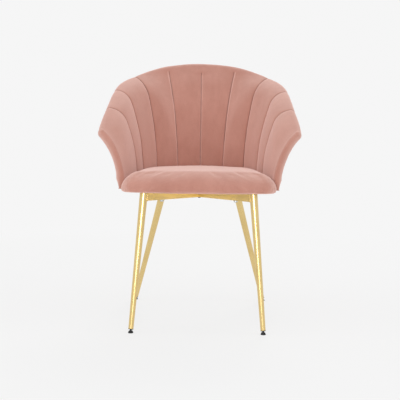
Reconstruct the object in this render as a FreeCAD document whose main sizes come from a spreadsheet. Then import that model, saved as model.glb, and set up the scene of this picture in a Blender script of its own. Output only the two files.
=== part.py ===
"""Scallop back chair: a padded tub with sewn channels on a frame of four round legs and two crossed bars.

Millimetres, +Z up, origin on the floor under the middle of the chair. The front looks along -Y and
+X is on the right of someone who looks at the front.
"""

import FreeCAD
import Part
import Sketcher
import math
import os
from FreeCAD import Placement, Rotation, Vector

# Driving sizes: name, value in millimetres or degrees, meaning
SIZES = [
    ("seat_back", 169, "seat line of the back, middle, behind the origin"),
    ("seat_back_radius", 320, "seat line, radius of the back"),
    ("seat_corner_radius", 140, "seat line, radius of the rear corners"),
    ("seat_half_width", 193.5, "seat line, half width beside the origin"),
    ("seat_flare", 9.5, "seat line, outward turn of the sides, degrees"),
    ("seat_seam_spacing", 74.5, "seat line, distance from seam to seam"),
    ("seat_front_bay", 141, "seat line, length of the channel at the arm front"),
    ("rim_back", 241, "rim line, middle, behind the origin"),
    ("rim_back_radius", 700, "rim line, radius of the back"),
    ("rim_corner_radius", 130, "rim line, radius of the rear corners"),
    ("rim_half_width", 272.4, "rim line, half width beside the origin"),
    ("rim_flare", 4.5, "rim line, outward turn of the sides, degrees"),
    ("rim_seam_spacing", 111.5, "rim line, distance from seam to seam"),
    ("rim_front_bay", 98, "rim line, length of the channel at the arm front"),
    ("rim_rise", 391, "seam height at the rim in the middle of the back, over the seat's underside"),
    ("arm_rise", 173, "seam height at the rim at the arm front, over the seat's underside"),
    ("flare_rise", 32, "where the back starts to lean out, over the seat's underside"),
    ("shell_rise", 4, "lower edge of the padded back, over the seat's underside"),
    ("bottom_taper", 11, "how far the lower edge is drawn in"),
    ("arm_rim_angle", 80, "turn of the rim from upright at the arms, degrees"),
    ("front_rim_angle", 50, "turn of the rim from upright at the arm front, degrees"),
    ("shell_thickness", 26, "padded back, seam to outer face"),
    ("channel_crown", 5.5, "height of a sewn channel over its seams"),
    ("channel_crown_low", 1, "the same at the lower edge"),
    ("quilt_thickness", 3, "channelled inner cover at a seam"),
    ("core_thickness", 4, "moulded core of the back"),
    ("outer_thickness", 3, "outer cover with its wadding"),
    ("layer_gap", 0.4, "gap between the layers of the back"),
    ("rim_wrap", 15, "how far the inner cover wraps down behind the rim"),
    ("pad_inset", 5.5, "seat pad, gap to the seam line of the back"),
    ("pad_front", 266, "seat pad, front edge before the origin"),
    ("pad_front_radius", 700, "seat pad, radius of the front edge"),
    ("pad_corner_radius", 48, "seat pad, radius of the front corners"),
    ("pad_half_width", 220, "seat pad, widest half width, for insets"),
    ("pad_middle", 51, "seat pad, middle before the origin"),
    ("seat_underside", 398, "underside of the seat board"),
    ("board_thickness", 12, "seat board"),
    ("board_inset", 17, "seat board, edge behind the pad's edge"),
    ("pad_crown_height", 68, "seat pad, crown over the board's underside"),
    ("pad_crown_radius", 2000, "seat pad, radius of the domed top"),
    ("pad_upper_round", 38, "seat pad, rounding of the upper edge"),
    ("pad_lower_round", 14, "seat pad, rounding of the lower edge"),
    ("cover_thickness", 1.5, "seat cover"),
    ("cover_gap", 0.3, "gap between seat cover and foam"),
    ("hem_width", 26, "seat cover, width of the turned-under hem"),
    ("dust_cover_thickness", 0.8, "cloth under the board"),
    ("dust_cover_inset", 30, "dust cover, edge behind the pad's edge"),
    ("front_leg_out", 155, "front leg top, from the middle"),
    ("front_leg_forward", 199, "front leg top, before the origin"),
    ("front_foot_out", 187, "front foot, from the middle"),
    ("front_foot_forward", 238, "front foot, before the origin"),
    ("rear_leg_out", 113.5, "rear leg top, from the middle"),
    ("rear_leg_back", 103, "rear leg top, behind the origin"),
    ("rear_foot_out", 216, "rear foot, from the middle"),
    ("rear_foot_back", 226, "rear foot, behind the origin"),
    ("leg_top_diameter", 23, "leg tube, top end"),
    ("leg_foot_diameter", 14.5, "leg tube, foot end"),
    ("leg_wall", 1.5, "leg tube, wall"),
    ("cap_thickness", 2, "disc in a leg's top end"),
    ("cap_gap", 0.1, "gap round a leg cap"),
    ("bar_height", 24, "cross bar"),
    ("bar_width", 20, "cross bar"),
    ("bar_wall", 1.5, "cross bar, wall"),
    ("lap_gap", 0.2, "gap in the halved joint of the bars"),
    ("front_bolt_place", 72, "frame bolt, from a front leg's top along the bar"),
    ("rear_bolt_place", 62, "frame bolt, from a rear leg's top along the bar"),
    ("bolt_diameter", 6, "frame bolts, shank"),
    ("bolt_grip", 37, "frame bolts, shank length over the washer"),
    ("bolt_head_diameter", 11, "frame bolts, head"),
    ("bolt_head_height", 4.5, "frame bolts, head"),
    ("centre_head_diameter", 9, "centre bolt, head"),
    ("centre_head_height", 3, "centre bolt, head"),
    ("bolt_hole_gap", 0.3, "gap round a bolt in the bars"),
    ("nut_gap", 0.05, "gap round a bolt in its tee nut"),
    ("washer_diameter", 16, "washers"),
    ("washer_thickness", 1.5, "washers"),
    ("nut_barrel_diameter", 8.5, "tee nut, barrel"),
    ("nut_barrel_length", 10, "tee nut, barrel"),
    ("nut_flange_diameter", 19, "tee nut, flange"),
    ("nut_flange_thickness", 1.2, "tee nut, flange"),
    ("nut_seat_gap", 0.1, "gap round a tee nut in the board"),
    ("nut_pocket_gap", 0.5, "gap between a tee nut's flange and the foam"),
    ("ball_height", 5, "glide, middle of the ball over the floor"),
    ("ball_diameter", 7, "glide, ball"),
    ("socket_gap", 0.05, "gap between ball and socket"),
    ("glide_diameter", 14.5, "glide pad at the floor"),
    ("glide_top_diameter", 10.5, "glide pad at its top"),
    ("glide_top", 1.2, "glide pad's top over the ball's middle"),
    ("neck_diameter", 4.5, "glide stud, neck"),
    ("neck_end", 4, "glide stud, neck's end over the ball's middle"),
    ("stud_diameter", 6, "glide stud, thread"),
    ("stud_end", 25, "glide stud, upper end over the ball's middle"),
    ("stud_gap", 0.05, "gap round the stud in its insert"),
    ("collar_start", 5.4, "foot insert, collar over the ball's middle"),
    ("collar_thickness", 2, "foot insert, collar"),
    ("plug_length", 20, "foot insert, part inside the tube"),
    ("plug_gap", 0.05, "gap between insert and tube"),
    ("bracket_seam", 1.2, "rear bracket, place in seams from the middle"),
    ("side_bracket_seam", 3.9, "side bracket, place in seams from the middle"),
    ("bracket_width", 28, "bracket"),
    ("bracket_thickness", 2, "bracket"),
    ("bracket_reach", 52, "bracket, flat part under the board"),
    ("bracket_rise", 18, "bracket, sloping part on the core"),
    ("bracket_standoff", 0.9, "bracket, room between it and the curved core"),
    ("bracket_edge", 8, "bracket, from its inner end to the first board screw"),
    ("board_screw_spacing", 12, "bracket, distance between its two board screws"),
    ("core_screw_spacing", 14, "bracket, distance between its two core screws"),
    ("screw_diameter", 4, "bracket screws, shank"),
    ("screw_length", 11, "bracket screws into the board"),
    ("core_screw_length", 6, "bracket screws into the core"),
    ("screw_head_diameter", 7.5, "bracket screws, head"),
    ("screw_head_height", 2, "bracket screws, head"),
    ("screw_gap", 0.05, "gap round a screw"),
    ("slot_gap", 1, "room round a bracket in the foam and dust cover"),
]

SEAMS_TO_ARM_FRONT = 5
NOSE_STEPS = (0.0, 0.45, 0.75, 0.93)

doc = FreeCAD.newDocument("scallop_back_chair")
sheet = doc.addObject("Spreadsheet::Sheet", "sizes")
for row, (name, value, meaning) in enumerate(SIZES, start=1):
    sheet.set(f"A{row}", meaning)
    sheet.set(f"B{row}", str(value))
    sheet.setAlias(f"B{row}", name)
doc.recompute()


class Size:
    """A number from the sheet together with the expression that gives it."""

    def __init__(self, value, text):
        self.value = value
        self.text = text

    @staticmethod
    def of(other):
        return other if isinstance(other, Size) else Size(float(other), str(other))

    def _join(self, other, sign, value):
        return Size(value, f"({self.text} {sign} {Size.of(other).text})")

    def __add__(self, other):
        return self._join(other, "+", self.value + Size.of(other).value)

    def __sub__(self, other):
        return self._join(other, "-", self.value - Size.of(other).value)

    def __mul__(self, other):
        return self._join(other, "*", self.value * Size.of(other).value)

    def __truediv__(self, other):
        return self._join(other, "/", self.value / Size.of(other).value)

    def __neg__(self):
        return Size(-self.value, f"(-{self.text})")


def cell(name):
    return Size(float(sheet.get(name)), f"sizes.{name}")


def mm(name):
    return float(sheet.get(name))


nodes = []


def keep(feature, label):
    """Name a finished sub-part, which is exported under its label."""
    feature.Label = label
    nodes.append(feature)
    return feature


def shaped(label, shape):
    feature = doc.addObject("Part::Feature", label)
    feature.Shape = shape
    return keep(feature, label)


# Lines seen from above


class PlanLine:
    """Half of a D seen from above: a back arc, a corner arc and a straight side that flares forward."""

    def __init__(self, back, back_radius, corner_radius, half_width, flare):
        self.back = back
        self.back_radius = back_radius
        self.corner_radius = corner_radius
        self.flare = math.radians(flare)
        spread = back_radius - corner_radius
        side_share = corner_radius * math.sin(self.flare) + back - back_radius
        lean = half_width - corner_radius * math.cos(self.flare) - side_share * math.tan(self.flare)
        self.corner_turn = math.asin(lean * math.cos(self.flare) / spread) - self.flare
        self.corner_x = math.sin(self.corner_turn) * spread
        self.corner_y = back - back_radius + math.cos(self.corner_turn) * spread
        self.back_length = back_radius * self.corner_turn
        self.corner_length = corner_radius * (math.pi / 2 - self.flare - self.corner_turn)
        self.side_x = self.corner_x + corner_radius * math.cos(self.flare)
        self.side_y = self.corner_y + corner_radius * math.sin(self.flare)

    def place(self, length):
        """The point at this length from the middle of the back, and the outward direction there."""
        if length <= self.back_length:
            turn = length / self.back_radius
            outward = Vector(math.sin(turn), math.cos(turn), 0)
            return Vector(0, self.back - self.back_radius, 0) + outward * self.back_radius, outward
        length -= self.back_length
        if length <= self.corner_length:
            turn = self.corner_turn + length / self.corner_radius
            outward = Vector(math.sin(turn), math.cos(turn), 0)
            return Vector(self.corner_x, self.corner_y, 0) + outward * self.corner_radius, outward
        length -= self.corner_length
        forward = Vector(math.sin(self.flare), -math.cos(self.flare), 0)
        outward = Vector(math.cos(self.flare), math.sin(self.flare), 0)
        return Vector(self.side_x, self.side_y, 0) + forward * length, outward

    def point(self, length):
        return self.place(length)[0]


# Heights that follow the seat's
shell_bottom = mm("seat_underside") + mm("shell_rise")
flare_start = mm("seat_underside") + mm("flare_rise")
rim_top = mm("seat_underside") + mm("rim_rise")
arm_top = mm("seat_underside") + mm("arm_rise")

seat_line = PlanLine(
    mm("seat_back"),
    mm("seat_back_radius"),
    mm("seat_corner_radius"),
    mm("seat_half_width"),
    mm("seat_flare"),
)
rim_line = PlanLine(
    mm("rim_back"),
    mm("rim_back_radius"),
    mm("rim_corner_radius"),
    mm("rim_half_width"),
    mm("rim_flare"),
)


def ease(start, end, value):
    """0 before start, 1 after end, and a smooth rise between them."""
    share = min(1.0, max(0.0, (value - start) / (end - start)))
    return share * share * (3 - 2 * share)


# Sections of the padded back


class Station:
    """An upright section of the back at a place counted in seams from the middle.

    In the section, s runs outward from the seat line and z up. The seam profile is upright up to
    flare_start and then turns outward on two arcs that meet tangent to each other. Every layer is
    concentric with them. A place past the arm front goes round its nose, where the section shrinks.
    """

    FIRST_ARC_SHARE = 0.26
    FLARE_FROM = 0.2
    FLARE_TO = 0.5
    FRONT_FROM = 0.8

    def __init__(self, place, nose=0.0):
        seams = min(place, SEAMS_TO_ARM_FRONT - 1)
        front = max(0.0, place - (SEAMS_TO_ARM_FRONT - 1))
        half = mm("shell_thickness") / 2
        self.shrink = math.sqrt(1 - nose * nose)
        ahead = nose * half
        seat = seat_line.point(
            seams * mm("seat_seam_spacing") + front * mm("seat_front_bay") + ahead
        )
        rim = rim_line.point(seams * mm("rim_seam_spacing") + front * mm("rim_front_bay") + ahead)
        share = place / SEAMS_TO_ARM_FRONT
        fall = math.cos(math.pi / 2 * share)
        rim_z = arm_top + (rim_top - arm_top) * fall
        run = seat.distanceToPoint(rim)
        rise = rim_z - flare_start
        self.seat = seat
        self.out = (rim - seat).normalize()
        least_turn = 2 * math.atan2(run, rise)
        flared = ease(self.FLARE_FROM, self.FLARE_TO, share)
        at_front = ease(self.FRONT_FROM, 1, share)
        arm_turn = math.radians(mm("arm_rim_angle"))
        front_turn = math.radians(mm("front_rim_angle"))
        turn = least_turn + (arm_turn - least_turn) * flared + (front_turn - arm_turn) * at_front
        first = self.FIRST_ARC_SHARE * turn
        a, b = 1 - math.cos(first), math.cos(first) - math.cos(turn)
        c, d = math.sin(first), math.sin(turn) - math.sin(first)
        scale = a * d - b * c
        self.radius_1 = (run * d - rise * b) / scale
        self.radius_2 = (rise * a - run * c) / scale
        self.first = first
        self.turn = turn

    def in_space(self, s, z):
        return self.seat + self.out * s + Vector(0, 0, z)

    def on_arc(self, depth, angle):
        """A point at a depth behind the seam profile, where the profile leans by this angle."""
        if angle <= self.first:
            reach = self.radius_1 - depth
            s, z = self.radius_1, flare_start
        else:
            step = self.radius_1 - self.radius_2
            reach = self.radius_2 - depth
            s = self.radius_1 - step * math.cos(self.first)
            z = flare_start + step * math.sin(self.first)
        return self.in_space(s - reach * math.cos(angle), z + reach * math.sin(angle))

    def arcs(self, depth, end=None):
        """The profile's two arcs at a depth, upward, the second one up to the angle end."""
        end = self.turn if end is None else end
        lower = [self.on_arc(depth, self.first * k / 2) for k in range(3)]
        upper = [self.on_arc(depth, self.first + (end - self.first) * k / 2) for k in range(1, 3)]
        return [lower, [lower[2]] + upper]

    def roll(self, inner, outer):
        """Two quarter circles over the rim, from the inner depth to the outer one."""
        middle = (inner + outer) / 2
        radius = (outer - inner) / 2
        across = Vector(0, 0, -math.sin(self.turn)) + self.out * math.cos(self.turn)
        along = Vector(0, 0, math.cos(self.turn)) + self.out * math.sin(self.turn)
        centre = self.on_arc(middle, self.turn)
        turns = [k * math.pi / 4 for k in range(5)]
        points = [centre + (along * math.sin(t) - across * math.cos(t)) * radius for t in turns]
        return [points[0:3], points[2:5]]

    def back_off(self, depth, length):
        """The angle of the profile this length before the rim, measured at a depth."""
        return self.turn - length / (self.radius_2 - depth)

    def foot(self, depth, taper=0.0):
        """The lower end of a layer, drawn in by the taper."""
        return self.in_space(depth - taper, shell_bottom)


def geometry(points):
    """A line through two points or an arc through three."""
    return Part.LineSegment(*points) if len(points) == 2 else Part.Arc(*points)


def closed_wire(runs):
    """A closed wire from runs of two or three points. Gaps between runs are joined by lines."""
    pieces = []
    for index, run in enumerate(runs):
        following = runs[(index + 1) % len(runs)]
        pieces.append(geometry(run).toShape())
        if run[-1].distanceToPoint(following[0]) > 1e-6:
            pieces.append(Part.LineSegment(run[-1], following[0]).toShape())
    return Part.Wire(pieces)


def reverse(runs):
    return [list(reversed(run)) for run in reversed(runs)]


def quilt_section(station, share):
    """The channelled inner cover: up the front, over the rim and down behind it.

    The crown is full where the share of the way from seam to seam is a half.
    """
    crowned = 1 - abs(2 * share - 1)
    crown = crowned * mm("channel_crown")
    crown_low = crowned * mm("channel_crown_low")
    depth = mm("shell_thickness")
    cover = mm("quilt_thickness")
    wrap = station.back_off(depth, mm("rim_wrap"))
    front = [[station.foot(-crown_low), station.on_arc(-crown, 0)]]
    back_down = [station.on_arc(depth, a) for a in (station.turn, (station.turn + wrap) / 2, wrap)]
    inner_up = [
        station.on_arc(depth - cover, a) for a in (wrap, (station.turn + wrap) / 2, station.turn)
    ]
    inner_down = [[station.on_arc(cover, 0), station.foot(cover)]]
    return closed_wire(
        front
        + station.arcs(-crown)
        + station.roll(-crown, depth)
        + [back_down, inner_up]
        + reverse(station.roll(cover, depth - cover))
        + reverse(station.arcs(cover))
        + inner_down
    )


def nose_section(station):
    """The whole thickness of the back, rounded off towards the arm's front."""
    middle = mm("shell_thickness") / 2
    inner = middle - middle * station.shrink
    outer = middle + middle * station.shrink
    taper = mm("bottom_taper") * station.shrink
    return closed_wire(
        [[station.foot(inner), station.on_arc(inner, 0)]]
        + station.arcs(inner)
        + station.roll(inner, outer)
        + reverse(station.arcs(outer))
        + [[station.on_arc(outer, 0), station.foot(outer, taper)]]
    )


core_outer = mm("shell_thickness") - mm("outer_thickness") - mm("layer_gap")
core_inner = core_outer - mm("core_thickness")


def foam_section(station, _share):
    """Foam from the inner cover to the core, with a roll over the core's upper edge."""
    inner = mm("quilt_thickness") + mm("layer_gap")
    outer = core_inner - mm("layer_gap")
    roll_end = mm("shell_thickness") - inner
    taper = mm("bottom_taper")
    return closed_wire(
        [[station.foot(inner), station.on_arc(inner, 0)]]
        + station.arcs(inner)
        + station.roll(inner, roll_end)
        + [[station.on_arc(roll_end, station.turn), station.on_arc(outer, station.turn)]]
        + reverse(station.arcs(outer))
        + [[station.on_arc(outer, 0), station.foot(outer, taper)]]
    )


def layer_section(station, inner, outer, end):
    """A layer of even thickness from the lower edge up to the angle end."""
    taper = mm("bottom_taper")
    return closed_wire(
        [[station.foot(inner, taper), station.on_arc(inner, 0)]]
        + station.arcs(inner, end)
        + reverse(station.arcs(outer, end))
        + [[station.on_arc(outer, 0), station.foot(outer, taper)]]
    )


def core_section(station, _share):
    end = station.back_off(core_outer, mm("layer_gap"))
    return layer_section(station, core_inner, core_outer, end)


def outer_section(station, _share):
    depth = mm("shell_thickness")
    end = station.back_off(depth, mm("rim_wrap") + mm("layer_gap"))
    return layer_section(station, depth - mm("outer_thickness"), depth, end)


def mirrored(shape):
    return shape.mirror(Vector(0, 0, 0), Vector(1, 0, 0))


def sweep(section, last_place):
    """A layer from arm front to arm front, lofted bay by bay from seam to seam."""
    half = []
    for seam in range(SEAMS_TO_ARM_FRONT):
        end = min(seam + 1, last_place)
        wires = [section(Station(place), place - seam) for place in (seam, seam + 0.5, end)]
        half.append(Part.makeLoft(wires, True, False))
    return half


def both_sides(half):
    pieces = half + [mirrored(piece) for piece in half]
    return pieces[0].fuse(pieces[1:])


# The layers stop one gap short of the nose, which belongs to the inner cover
last_layer_place = SEAMS_TO_ARM_FRONT - mm("layer_gap") / mm("rim_front_bay")


def layer(section):
    return both_sides(sweep(section, last_layer_place))


def quilt():
    """Ten crowned channels and the rounded nose of each arm."""
    nose = [nose_section(Station(SEAMS_TO_ARM_FRONT, step)) for step in NOSE_STEPS]
    channels = sweep(quilt_section, SEAMS_TO_ARM_FRONT)
    return both_sides(channels + [Part.makeLoft(nose, True, False)])


# Outline of the seat


def seat_outline(inset, z):
    """The pad's outline, from the right front corner round the back, drawn in by an inset."""
    line = PlanLine(
        mm("seat_back") - mm("pad_inset"),
        mm("seat_back_radius") - mm("pad_inset"),
        mm("seat_corner_radius") - mm("pad_inset"),
        mm("seat_half_width") - mm("pad_inset") / math.cos(math.radians(mm("seat_flare"))),
        mm("seat_flare"),
    )
    corner = mm("pad_corner_radius")
    front_radius = mm("pad_front_radius")
    front_centre = Vector(0, front_radius - mm("pad_front"), 0)
    side = Vector(line.side_x, line.side_y, 0)
    forward = Vector(math.sin(line.flare), -math.cos(line.flare), 0)
    outward = Vector(math.cos(line.flare), math.sin(line.flare), 0)
    start = side - outward * corner - front_centre
    along = start.dot(forward)
    reach = math.sqrt(along**2 - start.dot(start) + (front_radius - corner) ** 2) - along
    corner_centre = front_centre + start + forward * reach
    to_front = (corner_centre - front_centre).normalize()
    side_end = corner_centre + outward * corner
    front_end = corner_centre + to_front * corner
    halfway = corner_centre + (outward + to_front).normalize() * corner
    rear_end = line.point(line.back_length)
    rear_half = line.point(line.back_length + line.corner_length / 2)
    half = [
        [front_end, halfway, side_end],
        [side_end, side],
        [side, rear_half, rear_end],
    ]
    other = [[Vector(-p.x, p.y, 0) for p in run] for run in reverse(half)]
    left_rear = other[0][0]
    left_front = other[-1][-1]
    runs = half + [[rear_end, line.point(0), left_rear]] + other
    runs.append([left_front, Vector(0, -mm("pad_front"), 0), front_end])
    scale = 1 - inset / mm("pad_half_width")
    middle = Vector(0, -mm("pad_middle"), 0)
    return [[middle + (p - middle) * scale + Vector(0, 0, z) for p in run] for run in runs]


def rounded(solid, radius, low, high):
    """The solid with its level edge loop between two heights rounded."""
    loop = [e for e in solid.Edges if low < e.BoundBox.ZMin and e.BoundBox.ZMax < high]
    return solid.makeFillet(radius, loop)


hem_bottom = mm("seat_underside") - mm("cover_thickness")


def seat_pad(shrink):
    """The cushion's form: straight sides, a domed top and round edges, drawn in all over by shrink."""
    floor = hem_bottom + shrink
    crown = mm("seat_underside") + mm("pad_crown_height")
    height = crown - floor
    sides = slab(shrink, floor, height)
    dome = Part.makeSphere(mm("pad_crown_radius") - shrink)
    # The dome's seam and poles turn away from the seat
    dome.rotate(Vector(0, 0, 0), Vector(0, 1, 0), 90)
    dome.translate(Vector(0, -mm("pad_middle"), crown - mm("pad_crown_radius")))
    form = sides.common(dome)
    form = rounded(form, mm("pad_upper_round") - shrink, floor + height / 3, crown)
    return rounded(form, mm("pad_lower_round") - shrink, floor - 1, floor + 1)


def slab(inset, z, thickness):
    face = Part.Face(closed_wire(seat_outline(inset, z)))
    return face.extrude(Vector(0, 0, thickness))


# Bodies made from sketches


def new_body(name):
    return doc.addObject("PartDesign::Body", name)


def origin_plane(body, role):
    return [feature for feature in body.Origin.OriginFeatures if feature.Role == role][0]


def sketch_on(body, role, name):
    sketch = body.newObject("Sketcher::SketchObject", name)
    sketch.AttachmentSupport = [(origin_plane(body, role), "")]
    sketch.MapMode = "FlatFace"
    return sketch


def draw_profile(sketch, points):
    """A closed outline whose corners are held by the sheet's sizes."""
    corners = [(Size.of(x), Size.of(y)) for x, y in points]
    count = len(corners)
    for index, (x, y) in enumerate(corners):
        next_x, next_y = corners[(index + 1) % count]
        start = Vector(x.value, y.value, 0)
        end = Vector(next_x.value, next_y.value, 0)
        sketch.addGeometry(Part.LineSegment(start, end), False)
    for index in range(count):
        sketch.addConstraint(Sketcher.Constraint("Coincident", index, 2, (index + 1) % count, 1))
    for index, corner in enumerate(corners):
        for kind, size in zip(("DistanceX", "DistanceY"), corner):
            held = Sketcher.Constraint(kind, -1, 1, index, 1, size.value)
            number = sketch.addConstraint(held)
            sketch.setExpression(f"Constraints[{number}]", size.text)


def turned_body(name, points):
    """A body turned about Z from an outline given as radius and height."""
    body = new_body(name)
    sketch = sketch_on(body, "XZ_Plane", f"{name}_profile")
    draw_profile(sketch, points)
    turned = body.newObject("PartDesign::Revolution", f"{name}_turned")
    turned.Profile = sketch
    turned.ReferenceAxis = (sketch, ["V_Axis"])
    turned.Angle = 360
    return body


def group(label, master, places):
    """Identical pieces as separate solids in one sub-part."""
    doc.recompute()
    copies = []
    for place in places:
        copy = master.Shape.copy()
        copy.Placement = place
        copies.append(copy)
    return shaped(label, Part.makeCompound(copies))


# Frame


def at(x, y, z=0.0):
    return Vector(x, y, z)


frame_top = mm("seat_underside") - mm("cover_thickness") - mm("dust_cover_thickness")
bar_bottom = frame_top - mm("bar_height")

LEGS = {
    "front_left": (-1, "front"),
    "front_right": (1, "front"),
    "rear_left": (-1, "rear"),
    "rear_right": (1, "rear"),
}


def leg_ends(name):
    """The middle of a leg's top end, at the frame's top, and of its glide's ball."""
    side, row = LEGS[name]
    if row == "front":
        top = at(side * mm("front_leg_out"), -mm("front_leg_forward"), frame_top)
        foot = at(side * mm("front_foot_out"), -mm("front_foot_forward"), mm("ball_height"))
    else:
        top = at(side * mm("rear_leg_out"), mm("rear_leg_back"), frame_top)
        foot = at(side * mm("rear_foot_out"), mm("rear_foot_back"), mm("ball_height"))
    return top, foot


def leg_place(name):
    """Local Z runs up the leg from the middle of the glide's ball."""
    top, foot = leg_ends(name)
    return Placement(foot, Rotation(Vector(0, 0, 1), top - foot))


# The cone runs on past the frame's top, where a flat cut ends it
LEG_OVERRUN = 12


def leg_cone(name, label, inner_gap=None):
    """The leg's outer form, or with a gap the form that fills its bore."""
    top, foot = leg_ends(name)
    cone = doc.addObject("Part::Cone", label)
    inset = 0 if inner_gap is None else mm("leg_wall") + inner_gap
    start = mm("collar_start") + mm("collar_thickness")
    cone.setExpression("Radius1", f"sizes.leg_foot_diameter / 2 - {inset}")
    cone.setExpression("Radius2", f"sizes.leg_top_diameter / 2 - {inset}")
    cone.Height = top.distanceToPoint(foot) - start + LEG_OVERRUN
    cone.Placement = leg_place(name).multiply(Placement(Vector(0, 0, start), Rotation()))
    return cone


def block(label, x, y, z, place):
    box = doc.addObject("Part::Box", label)
    box.Length, box.Width, box.Height = x, y, z
    box.Placement = place
    return box


def cut(label, base, tools):
    """Base less the tools."""
    if len(tools) > 1:
        tool = doc.addObject("Part::MultiFuse", f"{label}_tools")
        tool.Shapes = tools
    else:
        tool = tools[0]
    result = doc.addObject("Part::Cut", label)
    result.Base = base
    result.Tool = tool
    return result


def common(label, first, second):
    result = doc.addObject("Part::Common", label)
    result.Base = first
    result.Tool = second
    return result


def above_frame(label, name):
    """A block over the frame's top that trims a leg."""
    top, foot = leg_ends(name)
    size = 4 * mm("leg_top_diameter")
    return block(label, size, size, size, Placement(top - at(size / 2, size / 2), Rotation()))


for leg in LEGS:
    tube = cut(
        f"{leg}_leg",
        leg_cone(leg, f"{leg}_leg_outside"),
        [leg_cone(leg, f"{leg}_leg_bore", 0), above_frame(f"{leg}_leg_trim", leg)],
    )
    keep(tube, f"{leg}_leg")
    top, foot = leg_ends(leg)
    span = 4 * mm("leg_top_diameter")
    cap_band = block(
        f"{leg}_cap_band",
        span,
        span,
        mm("cap_thickness"),
        Placement(top - at(span / 2, span / 2, mm("cap_thickness")), Rotation()),
    )
    cap = common(f"{leg}_leg_cap", leg_cone(leg, f"{leg}_cap_form", mm("cap_gap")), cap_band)
    keep(cap, f"{leg}_leg_cap")


# Bars: each runs from a front leg to the rear leg on the other side


def bar_place(front_leg, rear_leg):
    """Local X runs along the bar from the front leg, local Z is 0 at the bar's underside."""
    front, _ = leg_ends(front_leg)
    rear, _ = leg_ends(rear_leg)
    angle = math.degrees(math.atan2(rear.y - front.y, rear.x - front.x))
    start = at(front.x, front.y, bar_bottom)
    return Placement(start, Rotation(Vector(0, 0, 1), angle)), front.distanceToPoint(rear)


BARS = {
    "cross_bar_left": ("front_left", "rear_right"),
    "cross_bar_right": ("front_right", "rear_left"),
}


def crossing():
    front, _ = leg_ends("front_left")
    rear, _ = leg_ends("rear_right")
    share = -front.x / (rear.x - front.x)
    return at(0, front.y + (rear.y - front.y) * share, bar_bottom)


def bar_bolts(front_leg, rear_leg):
    """Places of the two frame bolts of a bar, at its underside."""
    place, length = bar_place(front_leg, rear_leg)
    return [
        place.multVec(at(mm("front_bolt_place"), 0)),
        place.multVec(at(length - mm("rear_bolt_place"), 0)),
    ]


def upright_hole(label, point, diameter, length):
    hole = doc.addObject("Part::Cylinder", label)
    hole.setExpression("Radius", f"({diameter}) / 2")
    hole.Height = 2 * length
    hole.Placement = Placement(point - at(0, 0, length), Rotation())
    return hole


def cross_bar(label, notch_low):
    """A rectangular tube with a halving, three bolt holes and ends cut to the legs."""
    front_leg, rear_leg = BARS[label]
    place, length = bar_place(front_leg, rear_leg)
    other = "cross_bar_right" if label == "cross_bar_left" else "cross_bar_left"
    other_place, other_length = bar_place(*BARS[other])
    outside = block(f"{label}_outside", length, 1, 1, place)
    outside.setExpression("Width", "sizes.bar_width")
    outside.setExpression("Height", "sizes.bar_height")
    outside.Placement = place.multiply(Placement(at(0, -mm("bar_width") / 2), Rotation()))
    bore = block(f"{label}_bore", length, 1, 1, place)
    bore.setExpression("Width", "sizes.bar_width - 2 * sizes.bar_wall")
    bore.setExpression("Height", "sizes.bar_height - 2 * sizes.bar_wall")
    bore_corner = at(0, mm("bar_wall") - mm("bar_width") / 2, mm("bar_wall"))
    bore.Placement = place.multiply(Placement(bore_corner, Rotation()))
    notch = block(f"{label}_notch", other_length, 1, mm("bar_height"), other_place)
    notch.setExpression("Width", "sizes.bar_width + 2 * sizes.lap_gap")
    half = mm("bar_height") / 2
    notch_z = -half if notch_low else half
    shift = mm("lap_gap") / 2 * (1 if notch_low else -1)
    notch_corner = at(0, -mm("bar_width") / 2 - mm("lap_gap"), notch_z + shift)
    notch.Placement = other_place.multiply(Placement(notch_corner, Rotation()))
    tools = [bore, notch]
    hole = "sizes.bolt_diameter + 2 * sizes.bolt_hole_gap"
    for index, point in enumerate(bar_bolts(front_leg, rear_leg) + [crossing()]):
        tools.append(upright_hole(f"{label}_hole_{index}", point, hole, 2 * mm("bar_height")))
    for leg in (front_leg, rear_leg):
        tools.append(leg_cone(leg, f"{label}_{leg}_cope"))
    return keep(cut(label, outside, tools), label)


cross_bar("cross_bar_left", notch_low=False)
cross_bar("cross_bar_right", notch_low=True)

# Frame bolts, washers, tee nuts and the centre bolt


def bolt_outline(head_diameter, head_height):
    shank = cell("bolt_diameter") / 2
    head = cell(head_diameter) / 2
    return [
        (0, -cell(head_height)),
        (head * 0.82, -cell(head_height)),
        (head, -cell(head_height) * 0.7),
        (head, 0),
        (shank, 0),
        (shank, cell("bolt_grip")),
        (0, cell("bolt_grip")),
    ]


bolt_points = [point for legs in BARS.values() for point in bar_bolts(*legs)]
board_top = mm("seat_underside") + mm("board_thickness")
bolt = turned_body("frame_bolt", bolt_outline("bolt_head_diameter", "bolt_head_height"))
washer = turned_body(
    "washer",
    [
        (cell("bolt_diameter") / 2 + cell("bolt_hole_gap"), 0),
        (cell("washer_diameter") / 2, 0),
        (cell("washer_diameter") / 2, cell("washer_thickness")),
        (cell("bolt_diameter") / 2 + cell("bolt_hole_gap"), cell("washer_thickness")),
    ],
)
nut_bore = cell("bolt_diameter") / 2 + cell("nut_gap")
tee_nut = turned_body(
    "tee_nut",
    [
        (nut_bore, 0),
        (cell("nut_barrel_diameter") / 2, 0),
        (cell("nut_barrel_diameter") / 2, cell("nut_barrel_length")),
        (cell("nut_flange_diameter") / 2, cell("nut_barrel_length")),
        (cell("nut_flange_diameter") / 2, cell("nut_barrel_length") + cell("nut_flange_thickness")),
        (nut_bore, cell("nut_barrel_length") + cell("nut_flange_thickness")),
    ],
)
washer_drop = at(0, 0, mm("washer_thickness"))
group("frame_washers", washer, [Placement(p - washer_drop, Rotation()) for p in bolt_points])
group("frame_bolts", bolt, [Placement(p - washer_drop, Rotation()) for p in bolt_points])
nut_points = [
    at(p.x, p.y, board_top - mm("nut_barrel_length")) for p in bolt_points + [crossing()]
]
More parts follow.
